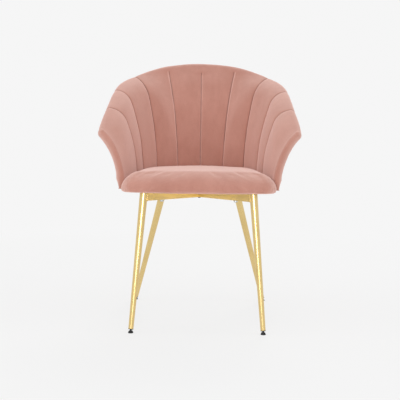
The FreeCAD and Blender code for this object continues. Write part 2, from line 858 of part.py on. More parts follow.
group("tee_nuts", tee_nut, [Placement(p, Rotation()) for p in nut_points])
centre_bolt = turned_body(
    "centre_bolt", bolt_outline("centre_head_diameter", "centre_head_height")
)
centre_bolt.Placement = Placement(crossing(), Rotation())
keep(centre_bolt, "centre_bolt")

# Feet

insert_bore = cell("stud_diameter") / 2 + cell("stud_gap")
collar_top = cell("collar_start") + cell("collar_thickness")
plug_radius = cell("leg_foot_diameter") / 2 - cell("leg_wall") - cell("plug_gap")
for leg in LEGS:
    top, foot = leg_ends(leg)
    insert = turned_body(
        f"{leg}_foot_insert",
        [
            (insert_bore, cell("collar_start")),
            (cell("leg_foot_diameter") / 2, cell("collar_start")),
            (cell("leg_foot_diameter") / 2, collar_top),
            (plug_radius, collar_top),
            (plug_radius, collar_top + cell("plug_length")),
            (insert_bore, collar_top + cell("plug_length")),
        ],
    )
    insert.Placement = leg_place(leg)
    keep(insert, f"{leg}_foot_insert")

    stud = new_body(f"{leg}_glide_stud")
    ball = stud.newObject("PartDesign::AdditiveSphere", f"{leg}_glide_ball")
    ball.setExpression("Radius", "sizes.ball_diameter / 2")
    stem = sketch_on(stud, "XZ_Plane", f"{leg}_stem_profile")
    draw_profile(
        stem,
        [
            (0, 0),
            (cell("neck_diameter") / 2, 0),
            (cell("neck_diameter") / 2, cell("neck_end")),
            (cell("stud_diameter") / 2, cell("neck_end")),
            (cell("stud_diameter") / 2, cell("stud_end")),
            (0, cell("stud_end")),
        ],
    )
    turned = stud.newObject("PartDesign::Revolution", f"{leg}_stem")
    turned.Profile = stem
    turned.ReferenceAxis = (stem, ["V_Axis"])
    turned.Angle = 360
    stud.Placement = leg_place(leg)
    keep(stud, f"{leg}_glide_stud")

    glide = turned_body(
        f"{leg}_glide_pad",
        [
            (0, -cell("ball_height")),
            (cell("glide_diameter") / 2, -cell("ball_height")),
            (cell("glide_diameter") / 2, -cell("ball_height") * 0.6),
            (cell("glide_top_diameter") / 2, cell("glide_top")),
            (0, cell("glide_top")),
        ],
    )
    socket = glide.newObject("PartDesign::SubtractiveSphere", f"{leg}_glide_socket")
    socket.setExpression("Radius", "sizes.ball_diameter / 2 + sizes.socket_gap")
    glide.Placement = Placement(foot, Rotation())
    keep(glide, f"{leg}_glide_pad")

# Brackets between the seat board and the core of the back

screw_bore = mm("screw_diameter") + 2 * mm("screw_gap")


def rod(place, diameter, length, start=0.0):
    """A cylinder along a placement's Z."""
    base = place.multVec(at(0, 0, start))
    direction = place.Rotation.multVec(Vector(0, 0, 1))
    return Part.makeCylinder(diameter / 2, length, base, direction)


class Bracket:
    """A bent angle: a flat part under the hem and a part that slopes up inside the core.

    Local X runs outward, square to the seat line, and local Z is the height.
    """

    def __init__(self, seam, side):
        station = Station(seam)
        base, outward = seat_line.place(seam * mm("seat_seam_spacing"))
        low = (station.foot(core_inner, mm("bottom_taper")) - base).dot(outward)
        high = (station.on_arc(core_inner, 0) - base).dot(outward)
        self.lean = math.atan2(high - low, flare_start - shell_bottom)
        self.foot = low - mm("bracket_standoff") / math.cos(self.lean)
        self.slope = Vector(math.sin(self.lean), 0, math.cos(self.lean))
        self.outward = Vector(math.cos(self.lean), 0, -math.sin(self.lean))
        angle = math.degrees(math.atan2(outward.y, outward.x))
        turn = Rotation(Vector(0, 0, 1), angle if side > 0 else 180 - angle)
        self.place = Placement(at(side * base.x, base.y), turn)
        thick = mm("bracket_thickness")
        self.tip = self.outer_face(shell_bottom + mm("bracket_rise"))
        self.inner_tip = self.tip - self.outward * thick
        self.bend = self.outer_face(hem_bottom) - at(thick / math.cos(self.lean), 0)
        self.flat_end = self.bend - at(mm("bracket_reach"), 0)

    def outer_face(self, z):
        return at(self.foot + (z - shell_bottom) * math.tan(self.lean), 0, z)

    def screws_up(self):
        """Local places of the screws into the board."""
        first = self.flat_end + at(mm("bracket_edge"), 0, -mm("bracket_thickness"))
        second = first + at(mm("board_screw_spacing"), 0)
        return [Placement(first, Rotation()), Placement(second, Rotation())]

    def screws_out(self):
        """Local places of the screws into the core."""
        middle = self.inner_tip - self.slope * (mm("bracket_rise") * 0.45)
        aside = at(0, mm("core_screw_spacing") / 2)
        turn = Rotation(Vector(0, 0, 1), self.outward)
        return [Placement(middle - aside, turn), Placement(middle + aside, turn)]

    def shape(self):
        down = at(0, 0, -mm("bracket_thickness"))
        heel = self.outer_face(hem_bottom - mm("bracket_thickness"))
        corners = [self.flat_end + down, heel, self.tip, self.inner_tip, self.bend, self.flat_end]
        width = mm("bracket_width")
        side = Part.Face(Part.makePolygon(corners + corners[:1]))
        side.translate(at(0, -width / 2))
        holes = [
            rod(place, screw_bore, mm("screw_length"), -mm("screw_head_height"))
            for place in self.screws_up() + self.screws_out()
        ]
        return side.extrude(at(0, width)).cut(holes)

    def room_above(self):
        """The space that the foam leaves for the sloping part and its screw heads."""
        gap = mm("slot_gap")
        width = mm("bracket_width") + 2 * gap
        depth = mm("bracket_thickness") + mm("screw_head_height") + 2 * gap
        height = 2 * mm("bracket_rise")
        room = Part.makeBox(3 * depth, width, height, at(-2 * depth, -width / 2, -height))
        room.rotate(at(0, 0), Vector(0, 1, 0), math.degrees(self.lean))
        room.translate(self.tip + at(depth, 0, gap))
        room.Placement = self.place.multiply(room.Placement)
        return room

    def room_below(self):
        """The notch that the dust cover leaves for the flat part."""
        gap = mm("slot_gap")
        width = mm("bracket_width") + 2 * gap
        notch = Part.makeBox(2 * mm("bracket_reach"), width, 2 * mm("bracket_thickness"))
        notch.translate(self.flat_end + at(-gap, -width / 2, -mm("bracket_thickness")))
        notch.Placement = self.place.multiply(notch.Placement)
        return notch


brackets = {
    "rear_right_bracket": Bracket(mm("bracket_seam"), 1),
    "rear_left_bracket": Bracket(mm("bracket_seam"), -1),
    "side_right_bracket": Bracket(mm("side_bracket_seam"), 1),
    "side_left_bracket": Bracket(mm("side_bracket_seam"), -1),
}
for name, bracket in brackets.items():
    shaped(name, bracket.shape()).Placement = bracket.place


def screw_outline(length):
    shank = cell("screw_diameter") / 2
    head = cell("screw_head_diameter") / 2
    return [
        (0, -cell("screw_head_height")),
        (head * 0.7, -cell("screw_head_height")),
        (head, 0),
        (shank, 0),
        (shank, cell(length)),
        (0, cell(length)),
    ]


board_screw = turned_body("board_screw", screw_outline("screw_length"))
core_screw = turned_body("core_screw", screw_outline("core_screw_length"))
screw_places_up = [b.place.multiply(p) for b in brackets.values() for p in b.screws_up()]
screw_places_out = [b.place.multiply(p) for b in brackets.values() for p in b.screws_out()]
group("bracket_board_screws", board_screw, screw_places_up)
group("bracket_core_screws", core_screw, screw_places_out)

# Back

core_shape = layer(core_section)
core_bore_length = mm("core_screw_length") + mm("screw_gap")
core_bores = [rod(place, screw_bore, core_bore_length) for place in screw_places_out]
shaped("back_core", core_shape.cut(core_bores))
bracket_rooms = [bracket.room_above() for bracket in brackets.values()]
shaped("back_foam", layer(foam_section).cut(bracket_rooms))
shaped("back_outer_cover", layer(outer_section))
shaped("back_channel_cover", quilt())

# Seat

board_shape = slab(mm("board_inset"), mm("seat_underside"), mm("board_thickness"))
barrel_hole = mm("nut_barrel_diameter") + 2 * mm("nut_seat_gap")
nut_bores = [
    Part.makeCylinder(barrel_hole / 2, 2 * mm("board_thickness"), at(p.x, p.y, hem_bottom))
    for p in nut_points
]
board_bore_length = mm("screw_length") + mm("screw_gap")
screw_bores = [rod(place, screw_bore, board_bore_length) for place in screw_places_up]
shaped("seat_board", board_shape.cut(nut_bores + screw_bores))

foam_inset = mm("cover_thickness") + mm("cover_gap")
board_slot = slab(mm("board_inset") - mm("cover_gap"), 0, board_top)
flange_room = mm("nut_flange_diameter") / 2 + mm("nut_pocket_gap")
flange_height = mm("nut_flange_thickness") + mm("nut_pocket_gap")
nut_pockets = [
    Part.makeCylinder(flange_room, flange_height, at(p.x, p.y, board_top)) for p in nut_points
]
shaped("seat_foam", seat_pad(foam_inset).cut([board_slot] + nut_pockets))

hem_edge = mm("pad_lower_round") + mm("hem_width")
hem_opening = slab(hem_edge, 0, mm("seat_underside") + mm("cover_thickness"))
cover_inside = [seat_pad(mm("cover_thickness")), hem_opening]
shaped("seat_cover", seat_pad(0).cut(cover_inside + screw_bores))

dust_bottom = hem_bottom - mm("dust_cover_thickness")
dust_shape = slab(mm("dust_cover_inset"), dust_bottom, mm("dust_cover_thickness"))
bolt_room = mm("bolt_diameter") / 2 + mm("bolt_hole_gap")
dust_cuts = [
    Part.makeCylinder(bolt_room, 2 * mm("bar_height"), at(p.x, p.y, bar_bottom))
    for p in nut_points
]
dust_cuts += [bracket.room_below() for bracket in brackets.values()]
shaped("dust_cover", dust_shape.cut(dust_cuts))

# Export

doc.recompute()
for feature in doc.Objects:
    if {"Invalid", "Error"} & set(feature.State):
        raise RuntimeError(f"{feature.Label} failed: {feature.State}")
for node in nodes:
    if node.Shape.isNull() or not node.Shape.isValid():
        raise RuntimeError(f"{node.Label} has no valid shape")

os.makedirs("parts", exist_ok=True)
for node in nodes:
    node.Shape.exportStep(os.path.join("parts", f"{node.Label}.step"))
    box = node.Shape.BoundBox
    print(
        f"{node.Label}: {len(node.Shape.Solids)} solids, {node.Shape.Volume / 1000:.1f} cm3, "
        f"z {box.ZMin:.1f} to {box.ZMax:.1f}"
    )
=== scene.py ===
"""Scallop back chair: velvet tub and seat, the cloth and fastenings under it, and all finishes.

Metres, +Z up, origin on the floor under the middle of the chair. The front looks along -Y and +X is
on the right of someone who looks at the front.
"""

import math

import bmesh
import bpy
import numpy as np
from bpy.props import FloatProperty, FloatVectorProperty, PointerProperty
from mathutils import Matrix, Vector, noise


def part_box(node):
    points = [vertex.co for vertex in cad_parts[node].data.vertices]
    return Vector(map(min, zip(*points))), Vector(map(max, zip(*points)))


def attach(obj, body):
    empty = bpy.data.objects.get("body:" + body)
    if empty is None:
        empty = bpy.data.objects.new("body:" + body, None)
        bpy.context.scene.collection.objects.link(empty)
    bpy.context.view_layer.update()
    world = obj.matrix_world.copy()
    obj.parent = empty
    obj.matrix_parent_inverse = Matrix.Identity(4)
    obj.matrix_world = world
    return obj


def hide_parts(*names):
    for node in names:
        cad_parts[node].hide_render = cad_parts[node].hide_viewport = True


bl_info = {
    "name": "Scallop Back Chair",
    "version": (1, 0, 0),
    "blender": (4, 5, 0),
    "location": "View3D > Sidebar > Chair",
    "description": "Velvet tub and seat, under-seat cloth, fastenings and finishes of the chair",
    "category": "Object",
}

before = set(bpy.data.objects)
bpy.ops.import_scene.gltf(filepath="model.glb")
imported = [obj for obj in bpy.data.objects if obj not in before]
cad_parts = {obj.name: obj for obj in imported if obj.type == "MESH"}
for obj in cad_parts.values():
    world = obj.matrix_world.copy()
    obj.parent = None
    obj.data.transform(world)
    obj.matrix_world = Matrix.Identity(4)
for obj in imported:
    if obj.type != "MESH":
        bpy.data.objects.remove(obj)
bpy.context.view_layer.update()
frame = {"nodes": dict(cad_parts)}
CHAIR = "chair"
SEAMS_TO_ARM_FRONT = 5


# Sizes and colours that a user would change


def length(name, description, default):
    return FloatProperty(
        name=name, description=description, default=default, unit="LENGTH", precision=4
    )


def angle(name, description, degrees):
    return FloatProperty(
        name=name, description=description, default=math.radians(degrees), unit="ROTATION"
    )


def share(name, description, default):
    return FloatProperty(
        name=name, description=description, default=default, min=0, max=1, subtype="FACTOR"
    )


def colour(name, description, default):
    return FloatVectorProperty(
        name=name, description=description, default=default, size=3, min=0, max=1, subtype="COLOR"
    )


class TubSizes(bpy.types.PropertyGroup):
    """The padded back: its lines seen from above, its upright profile and its channels."""

    seat_back: length("Seat line back", "Seat line behind the origin", 0.169)
    seat_back_radius: length("Seat line back radius", "Radius of the seat line's back", 0.32)
    seat_corner_radius: length("Seat line corners", "Radius of the seat line's corners", 0.14)
    seat_half_width: length("Seat line half width", "Half width beside the origin", 0.1935)
    seat_flare: angle("Seat line flare", "Outward turn of the seat line's sides", 9.5)
    seat_seam_spacing: length("Seat seam spacing", "From seam to seam at the seat", 0.0745)
    seat_front_bay: length("Seat front channel", "Channel at the arm front, at the seat", 0.141)
    rim_back: length("Rim line back", "Rim line behind the origin", 0.241)
    rim_back_radius: length("Rim line back radius", "Radius of the rim line's back", 0.7)
    rim_corner_radius: length("Rim line corners", "Radius of the rim line's corners", 0.13)
    rim_half_width: length("Rim line half width", "Half width beside the origin", 0.2724)
    rim_flare: angle("Rim line flare", "Outward turn of the rim line's sides", 4.5)
    rim_seam_spacing: length("Rim seam spacing", "From seam to seam at the rim", 0.1115)
    rim_front_bay: length("Rim front channel", "Channel at the arm front, at the rim", 0.098)
    rim_height: length("Rim height", "Seam height at the rim in the middle", 0.789)
    arm_height: length("Arm height", "Seam height at the rim at the arm front", 0.571)
    flare_start: length("Flare start", "Height where the back starts to lean out", 0.43)
    bottom: length("Lower edge", "Height of the lower edge", 0.402)
    bottom_taper: length("Lower edge taper", "How far the lower edge is drawn in", 0.011)
    arm_rim_angle: angle("Arm rim angle", "Turn of the rim from upright at the arms", 80)
    front_rim_angle: angle("Front rim angle", "Turn of the rim at the arm front", 50)
    thickness: length("Thickness", "Padded back from seam to outer face", 0.026)
    crown: length("Channel crown", "Height of a channel over its seams", 0.0078)
    crown_low: length("Low channel crown", "The same at the lower edge", 0.001)
    seam_groove: length("Seam groove", "Depth of the stitched valley of a seam", 0.0022)
    first_seam_end: length("Middle seam end", "From the rim down to the middle seam", 0.024)
    second_seam_end: length("Next seam end", "From the rim down to the seams beside it", 0.011)
    rim_wrap: length("Rim wrap", "From the rim down to the rear seam", 0.015)


class SeatSizes(bpy.types.PropertyGroup):
    """The seat cushion."""

    gap: length("Gap", "Gap to the seat line of the back", 0.0055)
    front: length("Front", "Front edge before the origin", 0.266)
    front_radius: length("Front radius", "Radius of the front edge", 0.7)
    corner_radius: length("Corner radius", "Radius of the front corners", 0.048)
    middle: length("Middle", "Middle of the crown before the origin", 0.051)
    underside: length("Underside", "Height of the underside", 0.3965)
    crown: length("Crown", "Height of the crown", 0.466)
    crown_radius: length("Crown radius", "Radius of the domed top", 2.0)
    upper_round: length("Upper round", "Rounding of the upper edge", 0.038)
    lower_round: length("Lower round", "Rounding of the lower edge", 0.014)
    slack: length("Slack", "How far the sewn form starts inside the stuffed one", 0.003)
    swell: length("Swell", "The most that the stuffing moves the cover", 0.005)


class FrameSizes(bpy.types.PropertyGroup):
    """Legs, cross bars and bolts, as the frame has them."""

    front_leg_out: length("Front leg out", "Top of a front leg from the middle", 0.155)
    front_leg_forward: length("Front leg forward", "Top of a front leg before the origin", 0.199)
    front_foot_out: length("Front foot out", "Front foot from the middle", 0.187)
    front_foot_forward: length("Front foot forward", "Front foot before the origin", 0.238)
    rear_leg_out: length("Rear leg out", "Top of a rear leg from the middle", 0.1135)
    rear_leg_back: length("Rear leg back", "Top of a rear leg behind the origin", 0.103)
    rear_foot_out: length("Rear foot out", "Rear foot from the middle", 0.216)
    rear_foot_back: length("Rear foot back", "Rear foot behind the origin", 0.226)
    leg_top_radius: length("Leg top radius", "Leg tube at its top", 0.0115)
    leg_foot_radius: length("Leg foot radius", "Leg tube at its foot", 0.00725)
    bar_width: length("Bar width", "Cross bar", 0.020)
    bar_height: length("Bar height", "Cross bar", 0.024)
    front_bolt: length("Front bolt", "From a front leg's top along the bar", 0.072)
    rear_bolt: length("Rear bolt", "From a rear leg's top along the bar", 0.062)
    bead: length("Weld bead", "Half thickness of a weld", 0.0017)
    staple: length("Staple", "Width of a staple", 0.009)
    staple_pitch: length("Staple spacing", "From staple to staple", 0.027)
    cloth_edge: length("Cloth edge", "Dust cloth's edge behind the cushion's edge", 0.030)


class Colours(bpy.types.PropertyGroup):
    """Finishes."""

    velvet: colour("Velvet", "Velvet seen straight on", (0.455, 0.213, 0.165))
    velvet_light: colour("Velvet pile light", "Brushed pile", (0.545, 0.275, 0.22))
    # Painted highlight: the lighter line of pile laid beside each seam, standing in for the light
    # caught there.
    velvet_seam_highlight: colour("Highlit velvet", "Pile rubbed along the seams", (0.80, 0.50, 0.43))
    velvet_tips: colour("Pile tips", "The pile seen along the cloth", (0.90, 0.60, 0.53))
    velvet_sheen: colour("Velvet sheen", "Tint of the pile's sheen", (1.0, 0.86, 0.82))
    thread: colour("Thread", "Sewing thread", (0.25, 0.085, 0.06))
    brass: colour("Brass", "Brass finish of legs and bars", (0.76, 0.57, 0.25))
    brass_dark: colour("Dark brass", "Brass where it is handled less", (0.64, 0.45, 0.17))
    zinc: colour("Zinc", "Zinc-plated steel", (0.62, 0.64, 0.66))
    black_steel: colour("Black steel", "Blackened bolts", (0.03, 0.03, 0.032))
    plastic: colour("Plastic", "Black plastic feet", (0.011, 0.011, 0.011))
    cloth: colour("Cloth", "Cloth under the seat", (0.02, 0.02, 0.022))
    core: colour("Core", "Moulded core of the back", (0.10, 0.10, 0.11))
    wood: colour("Wood", "Plywood veneer", (0.62, 0.43, 0.25))
    wood_dark: colour("Dark wood", "Grain and glue lines", (0.36, 0.21, 0.10))


class StageSettings(bpy.types.PropertyGroup):
    """Floor, lamps and camera."""

    floor: colour("Floor", "Floor and background", (0.92, 0.92, 0.92))
    floor_radius: length("Floor radius", "Radius of the round floor", 9.0)
    daylight: share("Daylight", "Even light from all round", 0.52)
    side_power: FloatProperty(name="Side lamps", description="Both sides", default=11, unit="POWER")
    top_power: FloatProperty(name="Top lamp", description="Soft lamp", default=6, unit="POWER")
    back_power: FloatProperty(name="Back lamp", description="Soft lamp", default=24, unit="POWER")
    front_power: FloatProperty(
        name="Front lamp", description="Lamp behind the camera", default=40, unit="POWER"
    )
    camera_place: FloatVectorProperty(
        name="Camera place",
        description="Where the camera stands",
        default=(0.027, -2.4223, 0.5531),
        size=3,
        subtype="TRANSLATION",
    )
    camera_pitch: angle("Camera pitch", "How far the camera looks down", 4.566)
    camera_yaw: angle("Camera yaw", "How far the camera looks to the right", -0.59)
    camera_roll: angle("Camera roll", "How far the camera tilts", 0.657)
    camera_lens: FloatProperty(
        name="Lens", description="Focal length on a 36 mm sensor", default=70.86, unit="CAMERA"
    )


class ChairSettings(bpy.types.PropertyGroup):
    """All sizes and colours of the chair."""

    tub: PointerProperty(type=TubSizes, name="Tub", description="Padded back")
    seat: PointerProperty(type=SeatSizes, name="Seat", description="Seat cushion")
    frame: PointerProperty(type=FrameSizes, name="Frame", description="Legs, bars and bolts")
    colours: PointerProperty(type=Colours, name="Colours", description="Finishes")
    stage: PointerProperty(type=StageSettings, name="Stage", description="Floor, lamps, camera")


# Shader maths


class Tone:
    """A shader socket that takes part in Python expressions through Math nodes."""

    def __init__(self, finish, socket):
        self.finish = finish
        self.socket = socket

    def _math(self, operation, *values):
        return self.finish.node("ShaderNodeMath", {"operation": operation}, dict(enumerate(values)))

    def __add__(self, other):
        return self._math("ADD", self, other)

    def __radd__(self, other):
        return self._math("ADD", other, self)

    def __sub__(self, other):
        return self._math("SUBTRACT", self, other)

    def __rsub__(self, other):
        return self._math("SUBTRACT", other, self)

    def __mul__(self, other):
        return self._math("MULTIPLY", self, other)

    def __rmul__(self, other):
        return self._math("MULTIPLY", other, self)

    def __pow__(self, other):
        return self._math("POWER", self, other)

    def __rpow__(self, other):
        return self._math("POWER", other, self)

    def __gt__(self, other):
        return self._math("GREATER_THAN", self, other)

    def __lt__(self, other):
        return self._math("LESS_THAN", self, other)

    def fraction(self):
        return self._math("FRACT", self)

    def size(self):
        return self._math("ABSOLUTE", self)

    def larger(self, other):
        return self._math("MAXIMUM", self, other)


class Finish:
    """A material, or the light of the world, made of nodes."""

    def __init__(self, name, library=None, end="ShaderNodeOutputMaterial"):
        self.owner = (bpy.data.materials if library is None else library).new(name)
        self.owner.use_nodes = True
        self.tree = self.owner.node_tree
        self.tree.nodes.clear()
        self.end = end
        self.place = self.node("ShaderNodeTexCoord", output="Object")

    def node(self, kind, settings=None, values=None, output=0):
        """Add a node: settings first, then the values or links of its inputs. Gives one output."""
        made = self.tree.nodes.new(kind)
        for name, value in (settings or {}).items():
            setattr(made, name, value)
        for name, value in (values or {}).items():
            socket = made.inputs[name]
            if isinstance(value, Tone):
                self.tree.links.new(value.socket, socket)
            elif hasattr(value, "__len__") and len(value) == 3 and len(socket.default_value) == 4:
                socket.default_value = (*value, 1)
            else:
                socket.default_value = value
        return Tone(self, made.outputs[output]) if made.outputs else None

    def noise(self, scale, detail=2.0, stretch=(1, 1, 1), roughness=0.5, turn=0.0):
        """Grey noise with its scale per metre, turned about Z and stretched along each axis."""
        turned = {"Vector": self.place, "Angle": turn}
        place = self.node("ShaderNodeVectorRotate", {"rotation_type": "Z_AXIS"}, turned)
        place = self.node("ShaderNodeVectorMath", {"operation": "MULTIPLY"}, {0: place, 1: stretch})
        values = {"Vector": place, "Scale": scale, "Detail": detail, "Roughness": roughness}
        return self.node("ShaderNodeTexNoise", None, values)

    def mix(self, amount, first, second, blend="MIX"):
        """A colour between two colours. The colour sockets of a Mix node are inputs 6 and 7."""
        settings = {"data_type": "RGBA", "blend_type": blend, "clamp_factor": True}
        return self.node("ShaderNodeMix", settings, {0: amount, 6: first, 7: second}, output=2)

    def range(self, value, low, high, to_low=0.0, to_high=1.0):
        names = ("Value", "From Min", "From Max", "To Min", "To Max")
        values = dict(zip(names, (value, low, high, to_low, to_high)))
        return self.node("ShaderNodeMapRange", {"clamp": True}, values)

    def bump(self, height, distance, strength):
        values = {"Height": height, "Distance": distance, "Strength": strength}
        return self.node("ShaderNodeBump", None, values)

    def surface(self, **values):
        """The material's surface, from the Principled shader's inputs with _ for a space."""
        inputs = {name.replace("_", " "): value for name, value in values.items()}
        return self.output(self.node("ShaderNodeBsdfPrincipled", None, inputs))

    def output(self, shader):
        self.node(self.end, None, {"Surface": shader})
        return self.owner


def part_of(finish, axis):
    """One coordinate of the place on the object, 0 for X to 2 for Z."""
    return finish.node("ShaderNodeSeparateXYZ", None, {"Vector": finish.place}, output=axis)


def seen(finish):
    """1 where the camera or a glossy reflection sees it, and 0 where it only lights others."""
    camera = finish.node("ShaderNodeLightPath", output="Is Camera Ray")
    return camera.larger(finish.node("ShaderNodeLightPath", output="Is Glossy Ray"))


# Finishes


def velvet(colours):
    """Short pile: brushed patches, a fine nap, a painted highlight beside the seams and painted
    shade in their creases, and a sheen where it is seen flat.
    """
    finish = Finish("rose_velvet")
    patches = finish.noise(9, 4, (1, 1, 0.8), 0.6)
    brushed = finish.noise(46, 4, (1, 1, 0.3), 0.6)
    nap = finish.noise(900, 2)
    weave = finish.noise(2600, 1)
    marks = finish.range(patches * 0.6 + brushed * 0.4, 0.4, 0.6)
    tint = finish.mix(marks * 0.55, colours.velvet, colours.velvet_light)
    # Painted seam light: the attribute is positive where a highlight is painted beside a seam and
    # negative where shade is painted in its crease.
    highlit = finish.node("ShaderNodeAttribute", {"attribute_name": "painted_seam_shading"}, output="Fac")
    tint = finish.mix((highlit * 0.6).larger(0.0), tint, colours.velvet_seam_highlight)
    # Painted shade in the seam creases: a darker copy of the velvet.
    crease_shade = [value * 0.45 for value in colours.velvet]
    tint = finish.mix((highlit * -0.75).larger(0.0), tint, crease_shade)
    shade = finish.range(nap, 0.3, 0.7, 0.9, 1.06)
    shade = finish.node("ShaderNodeCombineColor", None, {0: shade, 1: shade, 2: shade})
    relief = finish.bump(nap * 0.7 + weave * 0.3, 0.0006, 0.35)
    roughness = finish.range(brushed, 0.3, 0.7, 0.82, 0.95)
    pile = {
        "Base Color": finish.mix(1.0, tint, shade, "MULTIPLY"),
        "Roughness": roughness,
        "Specular IOR Level": 0.1,
        "Sheen Weight": 0.3,
        "Sheen Roughness": 0.3,
        "Sheen Tint": (*colours.velvet_sheen, 1),
        "Normal": relief,
    }
    tips = dict(pile)
    tips["Base Color"] = finish.mix(1.0, colours.velvet_tips, shade, "MULTIPLY")
    flat = finish.node("ShaderNodeLayerWeight", None, {"Blend": 0.5}, output="Facing")
    values = {
        0: flat**1.15 * 0.95,
        1: finish.node("ShaderNodeBsdfPrincipled", None, pile),
        2: finish.node("ShaderNodeBsdfPrincipled", None, tips),
    }
    return finish.output(finish.node("ShaderNodeMixShader", None, values))


def thread(colours):
    """Twisted sewing thread."""
    finish = Finish("sewing_thread")
    twist = finish.noise(1800, 1)
    return finish.surface(
        Base_Color=finish.mix(twist, colours.thread, colours.velvet),
        Roughness=finish.range(twist, 0.3, 0.7, 0.6, 0.8),
        Normal=finish.bump(twist, 0.0002, 0.6),
    )


BRIGHT_STROKES = (0.9, 0.72, 0.4)


def brass(name, colours, stretch, turn=0.0, polish=0.0):
    """Satin brass finish, brushed along the tube, a little duller in patches."""
    finish = Finish(name)
    strokes = finish.noise(520, 3, stretch, 0.65, turn)
    clouds = finish.noise(16, 3)
    wear_and_seam_shading = finish.range(clouds, 0.4, 0.68)
    tone = finish.mix(wear_and_seam_shading * 0.45, colours.brass, colours.brass_dark)
    tone = finish.mix(finish.range(strokes, 0.35, 0.65) * 0.18, tone, BRIGHT_STROKES)
    uneven = strokes * 0.6 + clouds * 0.4
    return finish.surface(
        Base_Color=tone,
        Metallic=1.0,
        Roughness=finish.range(uneven, 0.35, 0.65, 0.3 - polish, 0.4 - polish),
        Normal=finish.bump(strokes, 0.0001, 0.04),
    )


def leg_brass(colours):
    """The legs' brass, brushed along their length and polished a little more."""
    return brass("brass_legs", colours, (1, 1, 0.015), polish=0.05)


def plated(name, tint, dark, roughness):
    """Plated or blackened steel with a fine mottle."""
    finish = Finish(name)
    mottle = finish.noise(260, 4)
    return finish.surface(
        Base_Color=finish.mix(finish.range(mottle, 0.35, 0.65) * 0.5, tint, dark),
        Metallic=1.0,
        Roughness=finish.range(mottle, 0.3, 0.7, roughness - 0.04, roughness + 0.06),
        Normal=finish.bump(mottle, 0.0001, 0.3),
    )


def zinc_plating(colours):
    """Bright zinc with a darker mottle."""
    dark = [value * 0.7 for value in colours.zinc]
    return plated("bright_zinc", colours.zinc, dark, 0.38)


def black_oxide(colours):
    """Blackened steel with a darker mottle."""
    dark = [value * 0.5 for value in colours.black_steel]
    return plated("blackened_steel", colours.black_steel, dark, 0.42)


def moulded(name, tint, roughness, grain=1400):
    """Moulded plastic with a fine texture."""
    finish = Finish(name)
    texture = finish.noise(grain, 2)
    flow = finish.noise(22, 2)
    dusty = [value * 1.7 + 0.01 for value in tint]
    return finish.surface(
        Base_Color=finish.mix(finish.range(flow, 0.35, 0.7) * 0.5, tint, dusty),
        Roughness=finish.range(texture, 0.3, 0.7, roughness - 0.06, roughness + 0.08),
        Specular_IOR_Level=0.3,
        Normal=finish.bump(texture, 0.0002, 0.3),
    )


def plywood(colours):
    """Veneer with long grain on its faces and thin layers on its edges."""
    finish = Finish("board_plywood")
    grain = finish.noise(60, 5, (1, 0.06, 1), 0.6)
    rings = finish.noise(9, 2, (1, 0.2, 1))
    face = finish.mix(
        finish.range(grain * 0.6 + rings * 0.4, 0.4, 0.62) * 0.7, colours.wood, colours.wood_dark
    )
    height = part_of(finish, 2)
    ply = (height * 400).fraction() > 0.5
    edge = finish.mix(ply * 0.65, colours.wood, colours.wood_dark)
    upright = finish.node(
        "ShaderNodeSeparateXYZ",
        None,
        {"Vector": finish.node("ShaderNodeNewGeometry", output="Normal")},
        output=2,
    )
    return finish.surface(
        Base_Color=finish.mix(upright.size() > 0.5, edge, face),
        Roughness=finish.range(grain, 0.3, 0.7, 0.55, 0.75),
        Normal=finish.bump(grain, 0.0003, 0.4),
    )


def spunbond(colours):
    """Thin non-woven cloth with its grid of bonded dots."""
    finish = Finish("spunbond_cloth")
    fibres = finish.noise(700, 4)
    across = (part_of(finish, 0) * 500).fraction() - 0.5
    along = (part_of(finish, 1) * 500).fraction() - 0.5
    dots = across.size().larger(along.size()) > 0.28
    lighter = [value * 2.2 + 0.02 for value in colours.cloth]
    return finish.surface(
        Base_Color=finish.mix(finish.range(fibres, 0.35, 0.7) * 0.6, colours.cloth, lighter),
        Roughness=finish.range(fibres, 0.3, 0.7, 0.8, 0.95),
        Normal=finish.bump(fibres * 0.4 + dots * 0.6, 0.0002, 0.5),
    )


# Lines and sections of the tub


def ease(start, end, value):
    """0 before start, 1 after end, and a smooth rise between them."""
    part = min(1.0, max(0.0, (value - start) / (end - start)))
    return part * part * (3 - 2 * part)


def bell(distance, width):
    """A bell curve: 1 at no distance, and nearly 0 from twice the width on."""
    return math.exp(-((distance / width) ** 2))


class PlanLine:
    """Half of a D seen from above: a back arc, a corner arc and a straight, flaring side."""

    def __init__(self, back, back_radius, corner_radius, half_width, flare):
        self.back = back
        self.back_radius = back_radius
        self.corner_radius = corner_radius
        self.flare = flare
        spread = back_radius - corner_radius
        side = corner_radius * math.sin(flare) + back - back_radius
        lean = half_width - corner_radius * math.cos(flare) - side * math.tan(flare)
        self.turn = math.asin(lean * math.cos(flare) / spread) - flare
        self.corner = Vector(
            (math.sin(self.turn) * spread, back - back_radius + math.cos(self.turn) * spread)
        )
        self.back_length = back_radius * self.turn
        self.corner_length = corner_radius * (math.pi / 2 - flare - self.turn)
        self.outward = Vector((math.cos(flare), math.sin(flare)))
        self.forward = Vector((math.sin(flare), -math.cos(flare)))

    def point(self, distance):
        if distance <= self.back_length:
            turn = distance / self.back_radius
            centre = Vector((0, self.back - self.back_radius))
            return centre + Vector((math.sin(turn), math.cos(turn))) * self.back_radius
        distance -= self.back_length
        if distance <= self.corner_length:
            turn = self.turn + distance / self.corner_radius
            return self.corner + Vector((math.sin(turn), math.cos(turn))) * self.corner_radius
        distance -= self.corner_length
        return self.corner + self.outward * self.corner_radius + self.forward * distance


class Tub:
    """The padded back as a form: seat line, rim line and the sections between them."""

    FIRST_ARC_SHARE = 0.26

    def __init__(self, sizes):
        self.sizes = sizes
        self.seat_line = PlanLine(
            sizes.seat_back,
            sizes.seat_back_radius,
            sizes.seat_corner_radius,
            sizes.seat_half_width,
            sizes.seat_flare,
        )
        self.rim_line = PlanLine(
            sizes.rim_back,
            sizes.rim_back_radius,
            sizes.rim_corner_radius,
            sizes.rim_half_width,
            sizes.rim_flare,
        )


